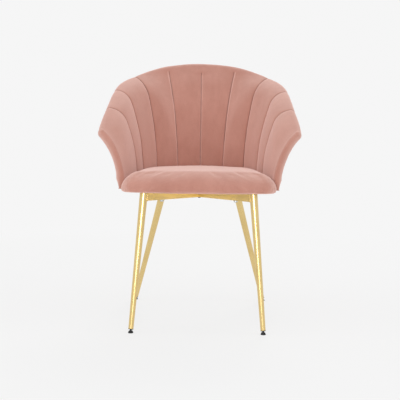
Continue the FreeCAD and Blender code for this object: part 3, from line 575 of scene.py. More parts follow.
class Section:
    """An upright section of the tub at a place counted in seams from the middle."""

    def __init__(self, tub, place, ahead=0.0):
        sizes = tub.sizes
        self.sizes = sizes
        seams = min(place, SEAMS_TO_ARM_FRONT - 1)
        front = max(0.0, place - (SEAMS_TO_ARM_FRONT - 1))
        seat = tub.seat_line.point(
            seams * sizes.seat_seam_spacing + front * sizes.seat_front_bay + ahead
        )
        rim = tub.rim_line.point(
            seams * sizes.rim_seam_spacing + front * sizes.rim_front_bay + ahead
        )
        part = place / SEAMS_TO_ARM_FRONT
        fall = math.cos(math.pi / 2 * part)
        rise = sizes.arm_height + (sizes.rim_height - sizes.arm_height) * fall - sizes.flare_start
        run = (rim - seat).length
        self.seat = seat
        self.out = (rim - seat) / run
        least = 2 * math.atan2(run, rise)
        flared = ease(0.2, 0.5, part)
        at_front = ease(0.8, 1, part)
        turn = least + (sizes.arm_rim_angle - least) * flared
        turn += (sizes.front_rim_angle - sizes.arm_rim_angle) * at_front
        first = tub.FIRST_ARC_SHARE * turn
        a, b = 1 - math.cos(first), math.cos(first) - math.cos(turn)
        c, d = math.sin(first), math.sin(turn) - math.sin(first)
        scale = a * d - b * c
        self.radius_1 = (run * d - rise * b) / scale
        self.radius_2 = (rise * a - run * c) / scale
        self.first = first
        self.turn = turn

    def in_space(self, s, z):
        return (self.seat.x + self.out.x * s, self.seat.y + self.out.y * s, z)

    def on_arc(self, depth, lean):
        """A point at a depth behind the seam profile, where the profile leans by this angle."""
        start = self.sizes.flare_start
        if lean <= self.first:
            reach, s, z = self.radius_1 - depth, self.radius_1, start
        else:
            step = self.radius_1 - self.radius_2
            reach = self.radius_2 - depth
            s = self.radius_1 - step * math.cos(self.first)
            z = start + step * math.sin(self.first)
        return self.in_space(s - reach * math.cos(lean), z + reach * math.sin(lean))

    def lean_at(self, part):
        """The lean at a share of the seam profile's length above the flare's start."""
        lower = self.radius_1 * self.first
        along = part * self.profile_length()
        if along <= lower:
            return along / self.radius_1
        return self.first + (along - lower) / self.radius_2

    def profile_length(self):
        return self.radius_1 * self.first + self.radius_2 * (self.turn - self.first)

    def roll(self, inner, outer, turn):
        """A point on the half circle over the rim, 0 at the inner face and pi at the outer one."""
        radius = (outer - inner) / 2
        x, y, z = self.on_arc((inner + outer) / 2, self.turn)
        across = -radius * math.cos(turn)
        along = radius * math.sin(turn)
        level = across * math.cos(self.turn) + along * math.sin(self.turn)
        height = -across * math.sin(self.turn) + along * math.cos(self.turn)
        return (x + self.out.x * level, y + self.out.y * level, z + height)


def channel_bulge(part):
    """The height of a channel from seam to seam, 1 in the middle: a round with steep shoulders."""
    side = abs(2 * part - 1)
    return (1 - side**2.1) ** 0.58 if side < 1 else 0.0


class TubSkin:
    """The tub's outer skin as a grid of columns from arm to arm.

    A column runs from the inner lower edge up, over the rim and down to the outer lower edge. The
    rows up to WRAP_ROW and the arm noses are the channelled cover, and the rest is the outer one.
    """

    HEM = ((0.0075, 0.0012), (0.0045, -0.0002), (0.002, -0.0004), (0.0004, 0.0012))
    NOSE_TURNS = tuple(math.radians(v) for v in (9, 18, 28, 38, 48, 58, 68, 78, 86, 90))
    BAY_COLUMNS = 30
    WALL_ROWS = 7
    FACE_ROWS = 96
    ROLL_ROWS = 18
    WRAP_STEPS = (0.25, 0.5, 0.7, 0.82, 0.9, 0.95, 1.0)
    OUTER_STEPS = (0.04, 0.09, 0.17, 0.28)
    OUTER_ROWS = 52
    OUTER_SPREAD = 1.6
    FACE_START = len(HEM) + WALL_ROWS
    ROLL_START = FACE_START + FACE_ROWS
    WRAP_START = ROLL_START + ROLL_ROWS
    WRAP_ROW = WRAP_START + len(WRAP_STEPS)
    HEM_HEIGHT = 0.003
    GROOVE_WIDTH = 0.0018
    FADE_BEYOND_END = 0.008
    FADE_BEFORE_END = 0.012
    CLOSED_SEAM = 0.85
    RIM_CROWN = 0.35
    LONGEST_WRAP = 0.9
    REAR_SEAM = 0.0015
    REAR_SEAM_WIDTH = 0.0016
    SIDE_SEAM_WIDTH = 0.002
    SIDE_SEAM_BACK = 0.010
    # Width of the painted seam highlight and crease shade, and how far the highlight lies from the
    # seam.
    SEAM_SHADING_WIDTH = 0.0014
    SEAM_HIGHLIGHT_FROM_SEAM = 0.0034
    RUMPLES = ((14, 0.0011), (70, 0.0003))

    def __init__(self, sizes):
        self.sizes = sizes
        self.tub = Tub(sizes)
        self.wall = sizes.flare_start - sizes.bottom - self.HEM_HEIGHT
        places = [(0.0, 0.0, 0.0)]
        for seam in range(SEAMS_TO_ARM_FRONT):
            for step in range(1, self.BAY_COLUMNS + 1):
                part = (1 - math.cos(math.pi * step / self.BAY_COLUMNS)) / 2
                places.append((seam + part, part, 0.0))
        half = places + [(float(SEAMS_TO_ARM_FRONT), 1.0, turn) for turn in self.NOSE_TURNS]
        columns = [(-1, *entry) for entry in reversed(half[1:])]
        columns += [(1, *entry) for entry in half]
        self.columns = columns
        self.points = np.array([self.column(*entry) for entry in columns])
        self.outward = self.grid_normals()
        # Per column, the painted seam highlight and crease shade, and the row where it stops.
        self.wear_and_seam_shading = [self.painted_seam_shading(*entry) for entry in columns]
        self.seam_shading_end = [self.seam_rows(entry[1]) for entry in columns]
        for scale, height in self.RUMPLES:
            self.rumple(scale, height)

    def swell(self, place, part, nose):
        """The channel's bulge at a place, carried on round the nose in the last one."""
        if place > SEAMS_TO_ARM_FRONT - 1 and part > 0.5:
            return 1 - 0.6 * ease(0.5, 1, part) - 0.4 * ease(0, math.pi / 2, nose)
        return channel_bulge(part)

    def painted_seam_shading(self, side, place, part, nose):
        """1 for the painted highlight beside a seam, on one side only, and -1 for the painted shade
        in the seam's crease.
        """
        if nose or place > SEAMS_TO_ARM_FRONT - 0.5:
            return 0.0
        both_ends = self.sizes.seat_seam_spacing + self.sizes.rim_seam_spacing
        beside = min(part, 1 - part) * both_ends / 2
        crease_shade = bell(beside, self.SEAM_SHADING_WIDTH)
        if part > 0.5 or (place < 0.5 and side < 0):
            return -crease_shade
        strength = 1.0 if place > 0.5 else 0.4
        return strength * bell(beside - self.SEAM_HIGHLIGHT_FROM_SEAM, self.SEAM_SHADING_WIDTH) - crease_shade

    def seam_end(self, place):
        """How far below the rim the nearest seam ends, or nothing where it runs over the rim."""
        ends = (self.sizes.first_seam_end, self.sizes.second_seam_end)
        nearest = round(place)
        return ends[nearest] if nearest < len(ends) else None

    def seam_rows(self, place):
        """The row where the nearest seam ends."""
        end = self.seam_end(place)
        if end is None:
            return self.WRAP_START
        face = Section(self.tub, place).profile_length()
        return self.FACE_START + int(self.FACE_ROWS * (1 - end / face))

    def grid_normals(self):
        """Directions out of the padding at all points of the grid."""
        across = np.gradient(self.points, axis=0)
        along = np.gradient(self.points, axis=1)
        normals = np.cross(along, across)
        sizes = np.linalg.norm(normals, axis=2, keepdims=True)
        normals /= np.maximum(sizes, 1e-12)
        middle = normals[len(self.columns) // 2, self.FACE_START + 40]
        return normals * (-1 if middle[1] > 0 else 1)

    def rumple(self, scale, height):
        """Move the grid by smooth noise, so the padding isn't perfectly even."""
        flat = self.points.reshape(-1, 3)
        flat += self.outward.reshape(-1, 3) * noise_heights(flat, scale, height)[:, None]

    def column(self, side, place, part, nose):
        """All rows of a column, from the inner lower edge over the rim to the outer one."""
        half = self.sizes.thickness / 2
        section = Section(self.tub, place, half * math.sin(nose))
        inner = half - half * math.cos(nose)
        outer = half + half * math.cos(nose)
        rows = self.inner_rows(section, inner, outer, place, part, nose)
        rows += self.outer_rows(section, inner, outer, place, nose)
        return [(side * x, y, z) for x, y, z in rows]

    def inner_rows(self, section, inner, outer, place, part, nose):
        """Hem, upright wall and channelled face of the inner side, and the roll over the rim."""
        sizes = self.sizes
        swell = self.swell(place, part, nose)
        distance = min(part, 1 - part) * sizes.rim_seam_spacing
        if place > SEAMS_TO_ARM_FRONT - 1 and part > 0.5:
            distance = 1.0
        groove = sizes.seam_groove * bell(distance, self.GROOVE_WIDTH)
        rows = []
        low = inner - sizes.crown_low * swell
        for depth, lift in self.HEM:
            rows.append(section.in_space(low + min(depth, outer - inner), sizes.bottom + lift))
        for step in range(1, self.WALL_ROWS + 1):
            share_up = step / self.WALL_ROWS
            bulge = sizes.crown_low + (sizes.crown - sizes.crown_low) * share_up
            height = sizes.bottom + self.HEM_HEIGHT + self.wall * share_up
            rows.append(section.in_space(inner - bulge * swell + groove, height))
        face = section.profile_length()
        end = self.seam_end(place)
        closed = 0.0
        for step in range(1, self.FACE_ROWS + 1):
            along = step / self.FACE_ROWS
            fade = 1 - (1 - self.RIM_CROWN) * ease(0.8, 1, along)
            if end is not None:
                beyond, before = end - self.FADE_BEYOND_END, end + self.FADE_BEFORE_END
                closed = 1 - ease(beyond, before, face * (1 - along))
            bulge = swell + (1 - swell) * self.CLOSED_SEAM * closed
            depth = inner - sizes.crown * bulge * fade + groove * (1 - closed)
            rows.append(section.on_arc(depth, section.lean_at(along)))
        rim_crown = sizes.crown * self.RIM_CROWN * bulge - groove * (1 - closed)
        for step in range(1, self.ROLL_ROWS + 1):
            turn = math.pi * step / self.ROLL_ROWS
            kept = 0.5 + 0.5 * math.cos(turn)
            rows.append(section.roll(inner - rim_crown * kept, outer, turn))
        return rows

    def outer_rows(self, section, inner, outer, place, nose):
        """The cover's wrap down to the rear seam, then the plain outer side, its wall and hem."""
        sizes = self.sizes
        rows = []
        radius = section.radius_2 - outer
        wrap = min(sizes.rim_wrap, radius * (section.turn - section.first) * self.LONGEST_WRAP)
        side_gap = (SEAMS_TO_ARM_FRONT - place) * sizes.rim_front_bay - self.SIDE_SEAM_BACK
        side_seam = 0.0
        if nose == 0:
            side_seam = self.REAR_SEAM * bell(side_gap, self.SIDE_SEAM_WIDTH)
        rear_seam = self.REAR_SEAM if side_gap > 0 else 0.0
        for step in self.WRAP_STEPS:
            dip = rear_seam * bell((1 - step) * wrap, self.REAR_SEAM_WIDTH)
            rows.append(section.on_arc(outer - dip, section.turn - step * wrap / radius))
        top = section.turn - wrap / radius
        steps = list(self.OUTER_STEPS)
        start = steps[-1]
        steps += [
            start + (1 - start) * step / self.OUTER_ROWS for step in range(1, self.OUTER_ROWS + 1)
        ]
        for step in steps:
            share_down = step**self.OUTER_SPREAD
            dip = rear_seam * bell(share_down * top * radius, self.REAR_SEAM_WIDTH)
            rows.append(section.on_arc(outer - max(dip, side_seam), top * (1 - share_down)))
        taper = sizes.bottom_taper * math.cos(nose)
        for step in range(1, self.WALL_ROWS + 1):
            share_down = step / self.WALL_ROWS
            depth = outer - taper * share_down
            rows.append(section.in_space(depth, sizes.flare_start - self.wall * share_down))
        under = outer - taper
        for depth, lift in reversed(self.HEM):
            rows.append(section.in_space(under - min(depth, under - inner), sizes.bottom + lift))
        return rows

    def quads(self, chosen):
        """Cells for which chosen(column, row) is true: their points, faces and painted seam
        highlight and shade.
        """
        count, rows = self.points.shape[:2]
        used = {}
        points = []
        faces = []
        wear_and_seam_shading = []

        def number(column, row):
            key = (column, row)
            if key not in used:
                used[key] = len(points)
                points.append(tuple(self.points[column, row]))
                wear_and_seam_shading.append(self.wear_and_seam_shading[column] if row < self.seam_shading_end[column] else 0.0)
            return used[key]

        for column in range(count - 1):
            for row in range(rows - 1):
                if chosen(column, row):
                    corners = ((0, 0), (0, 1), (1, 1), (1, 0))
                    faces.append([number(column + over, row + up) for over, up in corners])
        return points, faces, wear_and_seam_shading

    def side_seam_column(self, column):
        """Whether a cell lies in front of the seam behind the arm front."""
        place = min(self.columns[column][1], self.columns[column + 1][1])
        behind = (SEAMS_TO_ARM_FRONT - place) * self.sizes.rim_front_bay
        return behind <= self.SIDE_SEAM_BACK + 0.001


# Meshes


def shade_smooth(mesh):
    mesh.polygons.foreach_set("use_smooth", [True] * len(mesh.polygons))


def new_piece(name, points, faces, material):
    mesh = bpy.data.meshes.new(name)
    mesh.from_pydata(points, [], faces)
    mesh.validate()
    shade_smooth(mesh)
    mesh.materials.append(material)
    piece = bpy.data.objects.new(name, mesh)
    bpy.context.scene.collection.objects.link(piece)
    return piece


WELD_DISTANCE = 0.00002


def weld(piece):
    """Join points that coincide and turn all faces outward."""
    form = bmesh.new()
    form.from_mesh(piece.data)
    bmesh.ops.remove_doubles(form, verts=form.verts, dist=WELD_DISTANCE)
    bmesh.ops.recalc_face_normals(form, faces=form.faces)
    form.to_mesh(piece.data)
    form.free()
    shade_smooth(piece.data)
    return piece


def points_of(piece):
    points = np.empty(len(piece.data.vertices) * 3)
    piece.data.vertices.foreach_get("co", points)
    return points.reshape(-1, 3)


def move_points(piece, points):
    piece.data.vertices.foreach_set("co", points.ravel())
    piece.data.update()


def normals_of(piece):
    normals = np.empty(len(piece.data.vertices) * 3, np.float32)
    piece.data.vertex_normals.foreach_get("vector", normals)
    return normals.reshape(-1, 3)


def noise_heights(points, scale, height):
    """Smooth noise at these points, with its scale per metre, up to about this height."""
    return np.array([noise.noise(Vector(p) * scale) for p in points]) * height


def rumple(piece, scale, height, weight):
    """Move points along their normals by smooth noise, so the padding isn't perfectly even."""
    points = points_of(piece)
    heights = noise_heights(points, scale, height) * weight(points)
    move_points(piece, points + normals_of(piece) * heights[:, None])


class Forms:
    """Points and faces of many small closed forms that make one piece."""

    def __init__(self):
        self.points = []
        self.faces = []

    def loft(self, rings):
        """A closed form through rings of equal count, with its two ends closed."""
        first = len(self.points)
        points, faces = close_rings(rings)
        self.points += [tuple(point) for point in points]
        self.faces += [[first + index for index in face] for face in faces]

    def strand(self, path, outward, radius, flat, sides, ends=0.5):
        """A strand along a path, with a thinner ring at both ends."""
        rings = []
        last = len(path) - 1
        radii = radius * np.ones(len(path))
        for index, (point, out) in enumerate(zip(path, outward)):
            ahead = path[min(index + 1, last)] - path[max(index - 1, 0)]
            ahead = ahead / np.linalg.norm(ahead)
            side = np.cross(ahead, out)
            side = side / np.linalg.norm(side)
            up = np.cross(side, ahead)
            size = radii[index] * (ends if index in (0, last) else 1.0)
            turns = [2 * math.pi * k / sides for k in range(sides)]
            rings.append(
                [point + size * (side * math.cos(t) + up * math.sin(t) * flat) for t in turns]
            )
        self.loft(rings)

    def piece(self, name, material):
        return weld(new_piece(name, self.points, self.faces, material))


def at_distances(path, distances):
    """Points at these distances along a path."""
    steps = np.linalg.norm(np.diff(path, axis=0), axis=1)
    run = np.concatenate([[0], np.cumsum(steps)])
    return np.column_stack([np.interp(distances, run, path[:, axis]) for axis in range(3)])


def path_length(path):
    return float(np.linalg.norm(np.diff(path, axis=0), axis=1).sum())


def settings():
    return bpy.context.scene.scallop_chair


def finish_of(name, make):
    """A material by name, made from the chair's colours when it is first asked for."""
    return bpy.data.materials.get(name) or make(settings().colours)


def velvet_finish():
    return finish_of("rose_velvet", velvet)


# Pieces


class ChannelledBack(bpy.types.Operator):
    """Sew the channelled cover of the tub with its rim and arm fronts"""

    bl_idname = "scallop_chair.channelled_back"
    bl_label = "Channelled Back"

    def execute(self, context):
        skin = TubSkin(settings().tub)

        def chosen(column, row):
            return row < skin.WRAP_ROW - 1 or skin.side_seam_column(column)

        points, faces, wear_and_seam_shading = skin.quads(chosen)
        piece = new_piece("channelled_back", points, faces, velvet_finish())
        # The painted seam highlight and crease shade go to the velvet finish through this
        # attribute.
        nap = piece.data.attributes.new("painted_seam_shading", "FLOAT", "POINT")
        nap.data.foreach_set("value", wear_and_seam_shading)
        weld(piece)
        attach(piece, CHAIR)
        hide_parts("back_channel_cover", "back_foam")
        return {"FINISHED"}


class OuterBack(bpy.types.Operator):
    """Stretch the plain cover over the tub's outer side"""

    bl_idname = "scallop_chair.outer_back"
    bl_label = "Outer Back"

    def execute(self, context):
        skin = TubSkin(settings().tub)

        def chosen(column, row):
            return row >= skin.WRAP_ROW - 1 and not skin.side_seam_column(column)

        points, faces, _ = skin.quads(chosen)
        piece = new_piece("outer_back", points, faces, velvet_finish())
        weld(piece)
        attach(piece, CHAIR)
        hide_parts("back_outer_cover")
        return {"FINISHED"}


class SeamThread(bpy.types.Operator):
    """Sew the channels, the rear seam and the seams behind the arm fronts"""

    bl_idname = "scallop_chair.seam_thread"
    bl_label = "Seam Thread"

    PITCH = 0.0046
    STITCH = 0.0037
    RADIUS = 0.0005
    ALONG_STITCH = np.array([0, 0.18, 0.5, 0.82, 1])
    LIFT = np.array([-0.0004, 0, 0.00015, 0, -0.0004])[:, None]

    def execute(self, context):
        skin = TubSkin(settings().tub)
        forms = Forms()
        for path, outward in self.seams(skin):
            count = int(path_length(path) / self.PITCH)
            for index in range(count):
                places = index * self.PITCH + self.STITCH * self.ALONG_STITCH
                points = at_distances(path, places)
                outs = at_distances(outward, places * path_length(outward) / path_length(path))
                forms.strand(points + outs * self.LIFT, outs, self.RADIUS, 0.8, 6)
        piece = forms.piece("seam_thread", finish_of("sewing_thread", thread))
        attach(piece, CHAIR)
        return {"FINISHED"}

    def seams(self, skin):
        """Paths of all seams with the directions out of the padding."""
        middle = len(skin.columns) // 2
        first = len(skin.HEM)
        for seam in range(1 - SEAMS_TO_ARM_FRONT, SEAMS_TO_ARM_FRONT):
            column = middle + seam * skin.BAY_COLUMNS
            end = skin.seam_end(abs(seam))
            last = skin.WRAP_ROW - 1
            if end is not None:
                rim = skin.ROLL_START
                path = skin.points[column, first:rim]
                whole = np.linalg.norm(np.diff(path[::-1], axis=0), axis=1).cumsum()
                last = rim - int(np.searchsorted(whole, end)) - 1
            yield skin.points[column, first:last], skin.outward[column, first:last]
        cells = [c for c in range(len(skin.columns) - 1) if not skin.side_seam_column(c)]
        left, right = cells[0], cells[-1] + 1
        row = skin.WRAP_ROW - 1
        yield skin.points[left : right + 1, row], skin.outward[left : right + 1, row]
        for column in (left, right):
            yield skin.points[column, row:-first], skin.outward[column, row:-first]


class SeatOutline:
    """The cushion seen from above, as a closed row of points drawn in by an inset."""

    FRONT_STEPS = 22
    CORNER_STEPS = 16
    SIDE_STEPS = 20
    REAR_CORNER_STEPS = 18
    BACK_STEPS = 16

    def __init__(self, tub, seat):
        self.tub = tub
        self.seat = seat

    def half(self, inset):
        """Points from the middle of the front to the middle of the back, on the right."""
        tub, seat = self.tub, self.seat
        gap = seat.gap + inset
        line = PlanLine(
            tub.seat_back - gap,
            tub.seat_back_radius - gap,
            tub.seat_corner_radius - gap,
            tub.seat_half_width - gap / math.cos(tub.seat_flare),
            tub.seat_flare,
        )
        front_centre = Vector((0, seat.front_radius - seat.front))
        corner_radius = seat.corner_radius - inset
        start = line.corner + line.outward * (line.corner_radius - corner_radius) - front_centre
        along = start.dot(line.forward)
        centre_reach = seat.front_radius - seat.corner_radius
        reach = math.sqrt(along**2 - start.dot(start) + centre_reach**2) - along
        corner = front_centre + start + line.forward * reach
        to_front = (corner - front_centre).normalized()
        radius = seat.front_radius - inset
        front_turn = math.atan2(to_front.x, -to_front.y)
        side_turn = math.atan2(line.outward.x, -line.outward.y)
        points = []
        for step in range(self.FRONT_STEPS):
            turn = front_turn * step / self.FRONT_STEPS
            points.append(front_centre + Vector((math.sin(turn), -math.cos(turn))) * radius)
        for step in range(self.CORNER_STEPS):
            turn = front_turn + (side_turn - front_turn) * step / self.CORNER_STEPS
            points.append(corner + Vector((math.sin(turn), -math.cos(turn))) * corner_radius)
        side_front = corner + line.outward * corner_radius
        side_back = line.corner + line.outward * line.corner_radius
        for step in range(self.SIDE_STEPS):
            points.append(side_front.lerp(side_back, step / self.SIDE_STEPS))
        for step in range(self.REAR_CORNER_STEPS):
            part = 1 - step / self.REAR_CORNER_STEPS
            points.append(line.point(line.back_length + line.corner_length * part))
        for step in range(self.BACK_STEPS + 1):
            points.append(line.point(line.back_length * (1 - step / self.BACK_STEPS)))
        return points

    def ring(self, inset, z, scale=1.0):
        right = self.half(inset)
        whole = right + [Vector((-p.x, p.y)) for p in reversed(right[1:-1])]
        middle = Vector((0, -self.seat.middle))
        whole = [middle + (p - middle) * scale for p in whole]
        return [(p.x, p.y, z) for p in whole]


def close_rings(rings):
    """Points and faces of a closed form through rings of equal count."""
    count = len(rings[0])
    points = [point for ring in rings for point in ring]
    faces = [list(reversed(range(count)))]
    for level in range(len(rings) - 1):
        for index in range(count):
            following = (index + 1) % count
            low, high = level * count, (level + 1) * count
            faces.append([low + index, low + following, high + following, high + index])
    faces.append(list(range((len(rings) - 1) * count, len(rings) * count)))
    return points, faces


STUFFING_FRAMES = 20
STUFFING_PRESSURE = 4


def stuff(piece, pinned, most):
    """Blow the cover up by cloth simulation, with pinned points held, and cap how far it moves."""
    start = points_of(piece)
    group = piece.vertex_groups.new(name="held")
    group.add([int(i) for i in np.nonzero(pinned(start))[0]], 1.0, "REPLACE")
    cloth = piece.modifiers.new("stuffing", "CLOTH")
    cloth.settings.use_pressure = True
    cloth.settings.uniform_pressure_force = STUFFING_PRESSURE
    cloth.settings.effector_weights.gravity = 0
    cloth.settings.vertex_group_mass = group.name
    cloth.point_cache.frame_start = 1
    cloth.point_cache.frame_end = STUFFING_FRAMES
    scene = bpy.context.scene
    for number in range(1, STUFFING_FRAMES + 1):
        scene.frame_set(number)
    graph = bpy.context.evaluated_depsgraph_get()
    stuffed = piece.evaluated_get(graph)
    end = np.empty(len(start) * 3)
    stuffed.data.vertices.foreach_get("co", end)
    moved = end.reshape(-1, 3) - start
    far = np.linalg.norm(moved, axis=1)
    moved *= np.minimum(1, most / np.maximum(far, 1e-9))[:, None]
    piece.modifiers.remove(cloth)
    piece.vertex_groups.remove(group)
    scene.frame_set(1)
    move_points(piece, start + moved)


def apply_modifiers(piece):
    graph = bpy.context.evaluated_depsgraph_get()
    finished = bpy.data.meshes.new_from_object(piece.evaluated_get(graph))
    piece.modifiers.clear()
    piece.data = finished
    shade_smooth(finished)


class SeatCushion(bpy.types.Operator):
    """Stuff the seat cushion and pull its cover under the board"""

    bl_idname = "scallop_chair.seat_cushion"
    bl_label = "Seat Cushion"

    UNDER_HEM = 0.03
    TOP_SCALES = (0.93, 0.85, 0.75, 0.63, 0.5, 0.36, 0.22, 0.1, 0.03)
    VOXEL = 0.005
    HELD_HEIGHT = 0.002
    RUMPLE = (9, 0.0016)
    CALM_HEIGHT = 0.03

    def execute(self, context):
        chair = settings()
        seat = chair.seat
        low = seat.underside
        rings = self.rings(SeatOutline(chair.tub, seat), seat)
        piece = new_piece("seat_cushion", *close_rings(rings), velvet_finish())
        remesh = piece.modifiers.new("even", "REMESH")
        remesh.mode = "VOXEL"
        remesh.voxel_size = self.VOXEL
        apply_modifiers(piece)
        stuff(piece, lambda points: points[:, 2] < low + self.HELD_HEIGHT, seat.swell)
        subdivide = piece.modifiers.new("fine", "SUBSURF")
        subdivide.levels = 1
        apply_modifiers(piece)
        self.fill_out(piece, low)
        rumple(piece, *self.RUMPLE, lambda p: np.clip((p[:, 2] - low) / self.CALM_HEIGHT, 0, 1))
        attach(piece, CHAIR)
        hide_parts("seat_cover", "seat_foam")
        return {"FINISHED"}

    def rings(self, outline, seat):
        """Rings of the cover from its edge under the board, up the side and over the top."""
        slack = seat.slack
        low = seat.underside
        rings = [
            outline.ring(seat.lower_round + self.UNDER_HEM, low),
            outline.ring(seat.lower_round, low),
        ]
        lower = seat.lower_round - slack
        for step in range(1, 7):
            turn = math.pi / 2 * step / 6
            inset = slack + lower * (1 - math.sin(turn))
            rings.append(outline.ring(inset, low + lower * (1 - math.cos(turn))))
        upper = seat.upper_round
        edge = self.top_height(seat, outline.ring(slack + upper, 0))
        top_of_side = float(edge.mean()) - upper
        for step in range(1, 6):
            part = step / 6
            z = low + lower + (top_of_side - low - lower) * part
            rings.append(outline.ring(slack, z))
        for step in range(9):
            turn = math.pi / 2 * step / 8
            ring = outline.ring(slack + upper * (1 - math.cos(turn)), 0)
            rings.append(self.under_dome(seat, ring, upper * (1 - math.sin(turn))))
        for scale in self.TOP_SCALES:
            rings.append(self.under_dome(seat, outline.ring(slack + upper, 0, scale), 0.0))
        return rings

    def under_dome(self, seat, ring, drop):
        """The ring lifted to this far below the domed top."""
        heights = self.top_height(seat, ring) - drop
        return [(x, y, float(z)) for (x, y, _), z in zip(ring, heights)]

    @staticmethod
    def top_height(seat, ring):
        """Heights of the domed top over a ring's points, before the stuffing swells it."""
        ring = np.array(ring)
        radius = seat.crown_radius
        centre_z = seat.crown - radius - seat.slack
        across = ring[:, 0] ** 2 + (ring[:, 1] + seat.middle) ** 2
        return centre_z + np.sqrt(radius**2 - across)

    @staticmethod
    def fill_out(piece, low):
        """Bring the stuffed form to the cover's own width, depth and height over its underside."""
        cover_low, cover_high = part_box("seat_cover")
        points = points_of(piece)
        points[:, 2] = np.maximum(points[:, 2], low)
        for axis in range(3):
            start, end = points[:, axis].min(), points[:, axis].max()
            share_across = (points[:, axis] - start) / (end - start)
            from_edge = low if axis == 2 else cover_low[axis]
            points[:, axis] = from_edge + share_across * (cover_high[axis] - from_edge)
        move_points(piece, points)


class DustCloth(bpy.types.Operator):
    """Stretch the thin cloth under the seat board"""

    bl_idname = "scallop_chair.dust_cloth"
    bl_label = "Dust Cloth"

    JOIN_DISTANCE = 0.00001
    LONGEST_EDGE = 0.012
    MOST_ROUNDS = 6

    def execute(self, context):
        source = frame["nodes"]["dust_cover"].data
        form = bmesh.new()
        form.from_mesh(source)
        bmesh.ops.remove_doubles(form, verts=form.verts, dist=self.JOIN_DISTANCE)
        bmesh.ops.triangulate(form, faces=form.faces)
        for _ in range(self.MOST_ROUNDS):
            long_edges = [e for e in form.edges if e.calc_length() > self.LONGEST_EDGE]
            if not long_edges:
                break
            bmesh.ops.subdivide_edges(form, edges=long_edges, cuts=1, use_grid_fill=False)
            bmesh.ops.triangulate(form, faces=form.faces)
        for vert in form.verts:
            ripple = noise.noise(Vector((vert.co.x * 22, vert.co.y * 9, 0)))
            vert.co.z += 0.00025 * ripple - 0.00015
        area = sum(face.calc_area() for face in form.faces if face.normal.z > 0.5)
        mesh = bpy.data.meshes.new("dust_cloth")
        form.to_mesh(mesh)
        form.free()
        mesh.materials.append(finish_of("spunbond_cloth", spunbond))
        piece = bpy.data.objects.new("dust_cloth", mesh)
        bpy.context.scene.collection.objects.link(piece)
        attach(piece, CHAIR)
        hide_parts("dust_cover")
        return {"FINISHED"}


class Staples(bpy.types.Operator):
    """Staple the edge of the dust cloth to the board"""

    bl_idname = "scallop_chair.staples"
    bl_label = "Staples"

    FROM_CLOTH_EDGE = 0.005
    MOST_TURN = 0.35
    WIRE_RADIUS = 0.00045
    BAR_ROOM = 0.018
    BAR_END_ROOM = 0.02
    BRACKET_ROOM = 0.008

    def execute(self, context):
        chair = settings()
        sizes = chair.frame
        outline = SeatOutline(chair.tub, chair.seat)
        low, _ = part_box("dust_cover")
        path = np.array(outline.ring(sizes.cloth_edge + self.FROM_CLOTH_EDGE, low.z))
        path = np.vstack([path, path[:1]])
        forms = Forms()
        half = sizes.staple / 2
        down = np.array([0.0, 0.0, -1.0])
        for index in range(int(path_length(path) / sizes.staple_pitch)):
            start = index * sizes.staple_pitch
            near, far = at_distances(path, np.array([start, start + 0.001]))
            if self.covered(near, sizes):
                continue
            turn = self.MOST_TURN * math.sin(index * 2.3)
            ahead = Vector(far - near).normalized()
            ahead = np.array(Matrix.Rotation(turn, 3, "Z") @ ahead)
            wire = [
                near - ahead * half - down * 0.0006,
                near - ahead * half + down * 0.0002,
                near - ahead * (half - 0.0005) + down * 0.0005,
                near + ahead * (half - 0.0005) + down * 0.0005,
                near + ahead * half + down * 0.0002,
                near + ahead * half - down * 0.0006,
            ]
            across = np.cross(ahead, down)
            outward = [across] * len(wire)
            forms.strand(np.array(wire), outward, self.WIRE_RADIUS, 1.0, 6, 1.0)
        piece = forms.piece("staples", finish_of("bright_zinc", zinc_plating))
        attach(piece, CHAIR)
        return {"FINISHED"}

    def covered(self, point, sizes):
        """Whether a bar or a bracket leaves no room for a staple here."""
        place = Vector(point[:2])
        for front, rear in bar_lines(sizes):
            along = (rear - front).normalized()
            off = place - front
            last = (rear - front).length + self.BAR_END_ROOM
            beside = abs(off.cross(along)) < self.BAR_ROOM
            if beside and -self.BAR_END_ROOM < off.dot(along) < last:
                return True
        for name in frame["nodes"]:
            if name.endswith("_bracket"):
                low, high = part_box(name)
                room = self.BRACKET_ROOM
                if all(low[k] - room < place[k] < high[k] + room for k in (0, 1)):
                    return True
        return False


def bar_lines(sizes):
    """The two cross bars seen from above, each from its front leg to its rear leg."""
    lines = []
    for side in (-1, 1):
        front = Vector((side * sizes.front_leg_out, -sizes.front_leg_forward))
        rear = Vector((-side * sizes.rear_leg_out, sizes.rear_leg_back))
        lines.append((front, rear))
    return lines


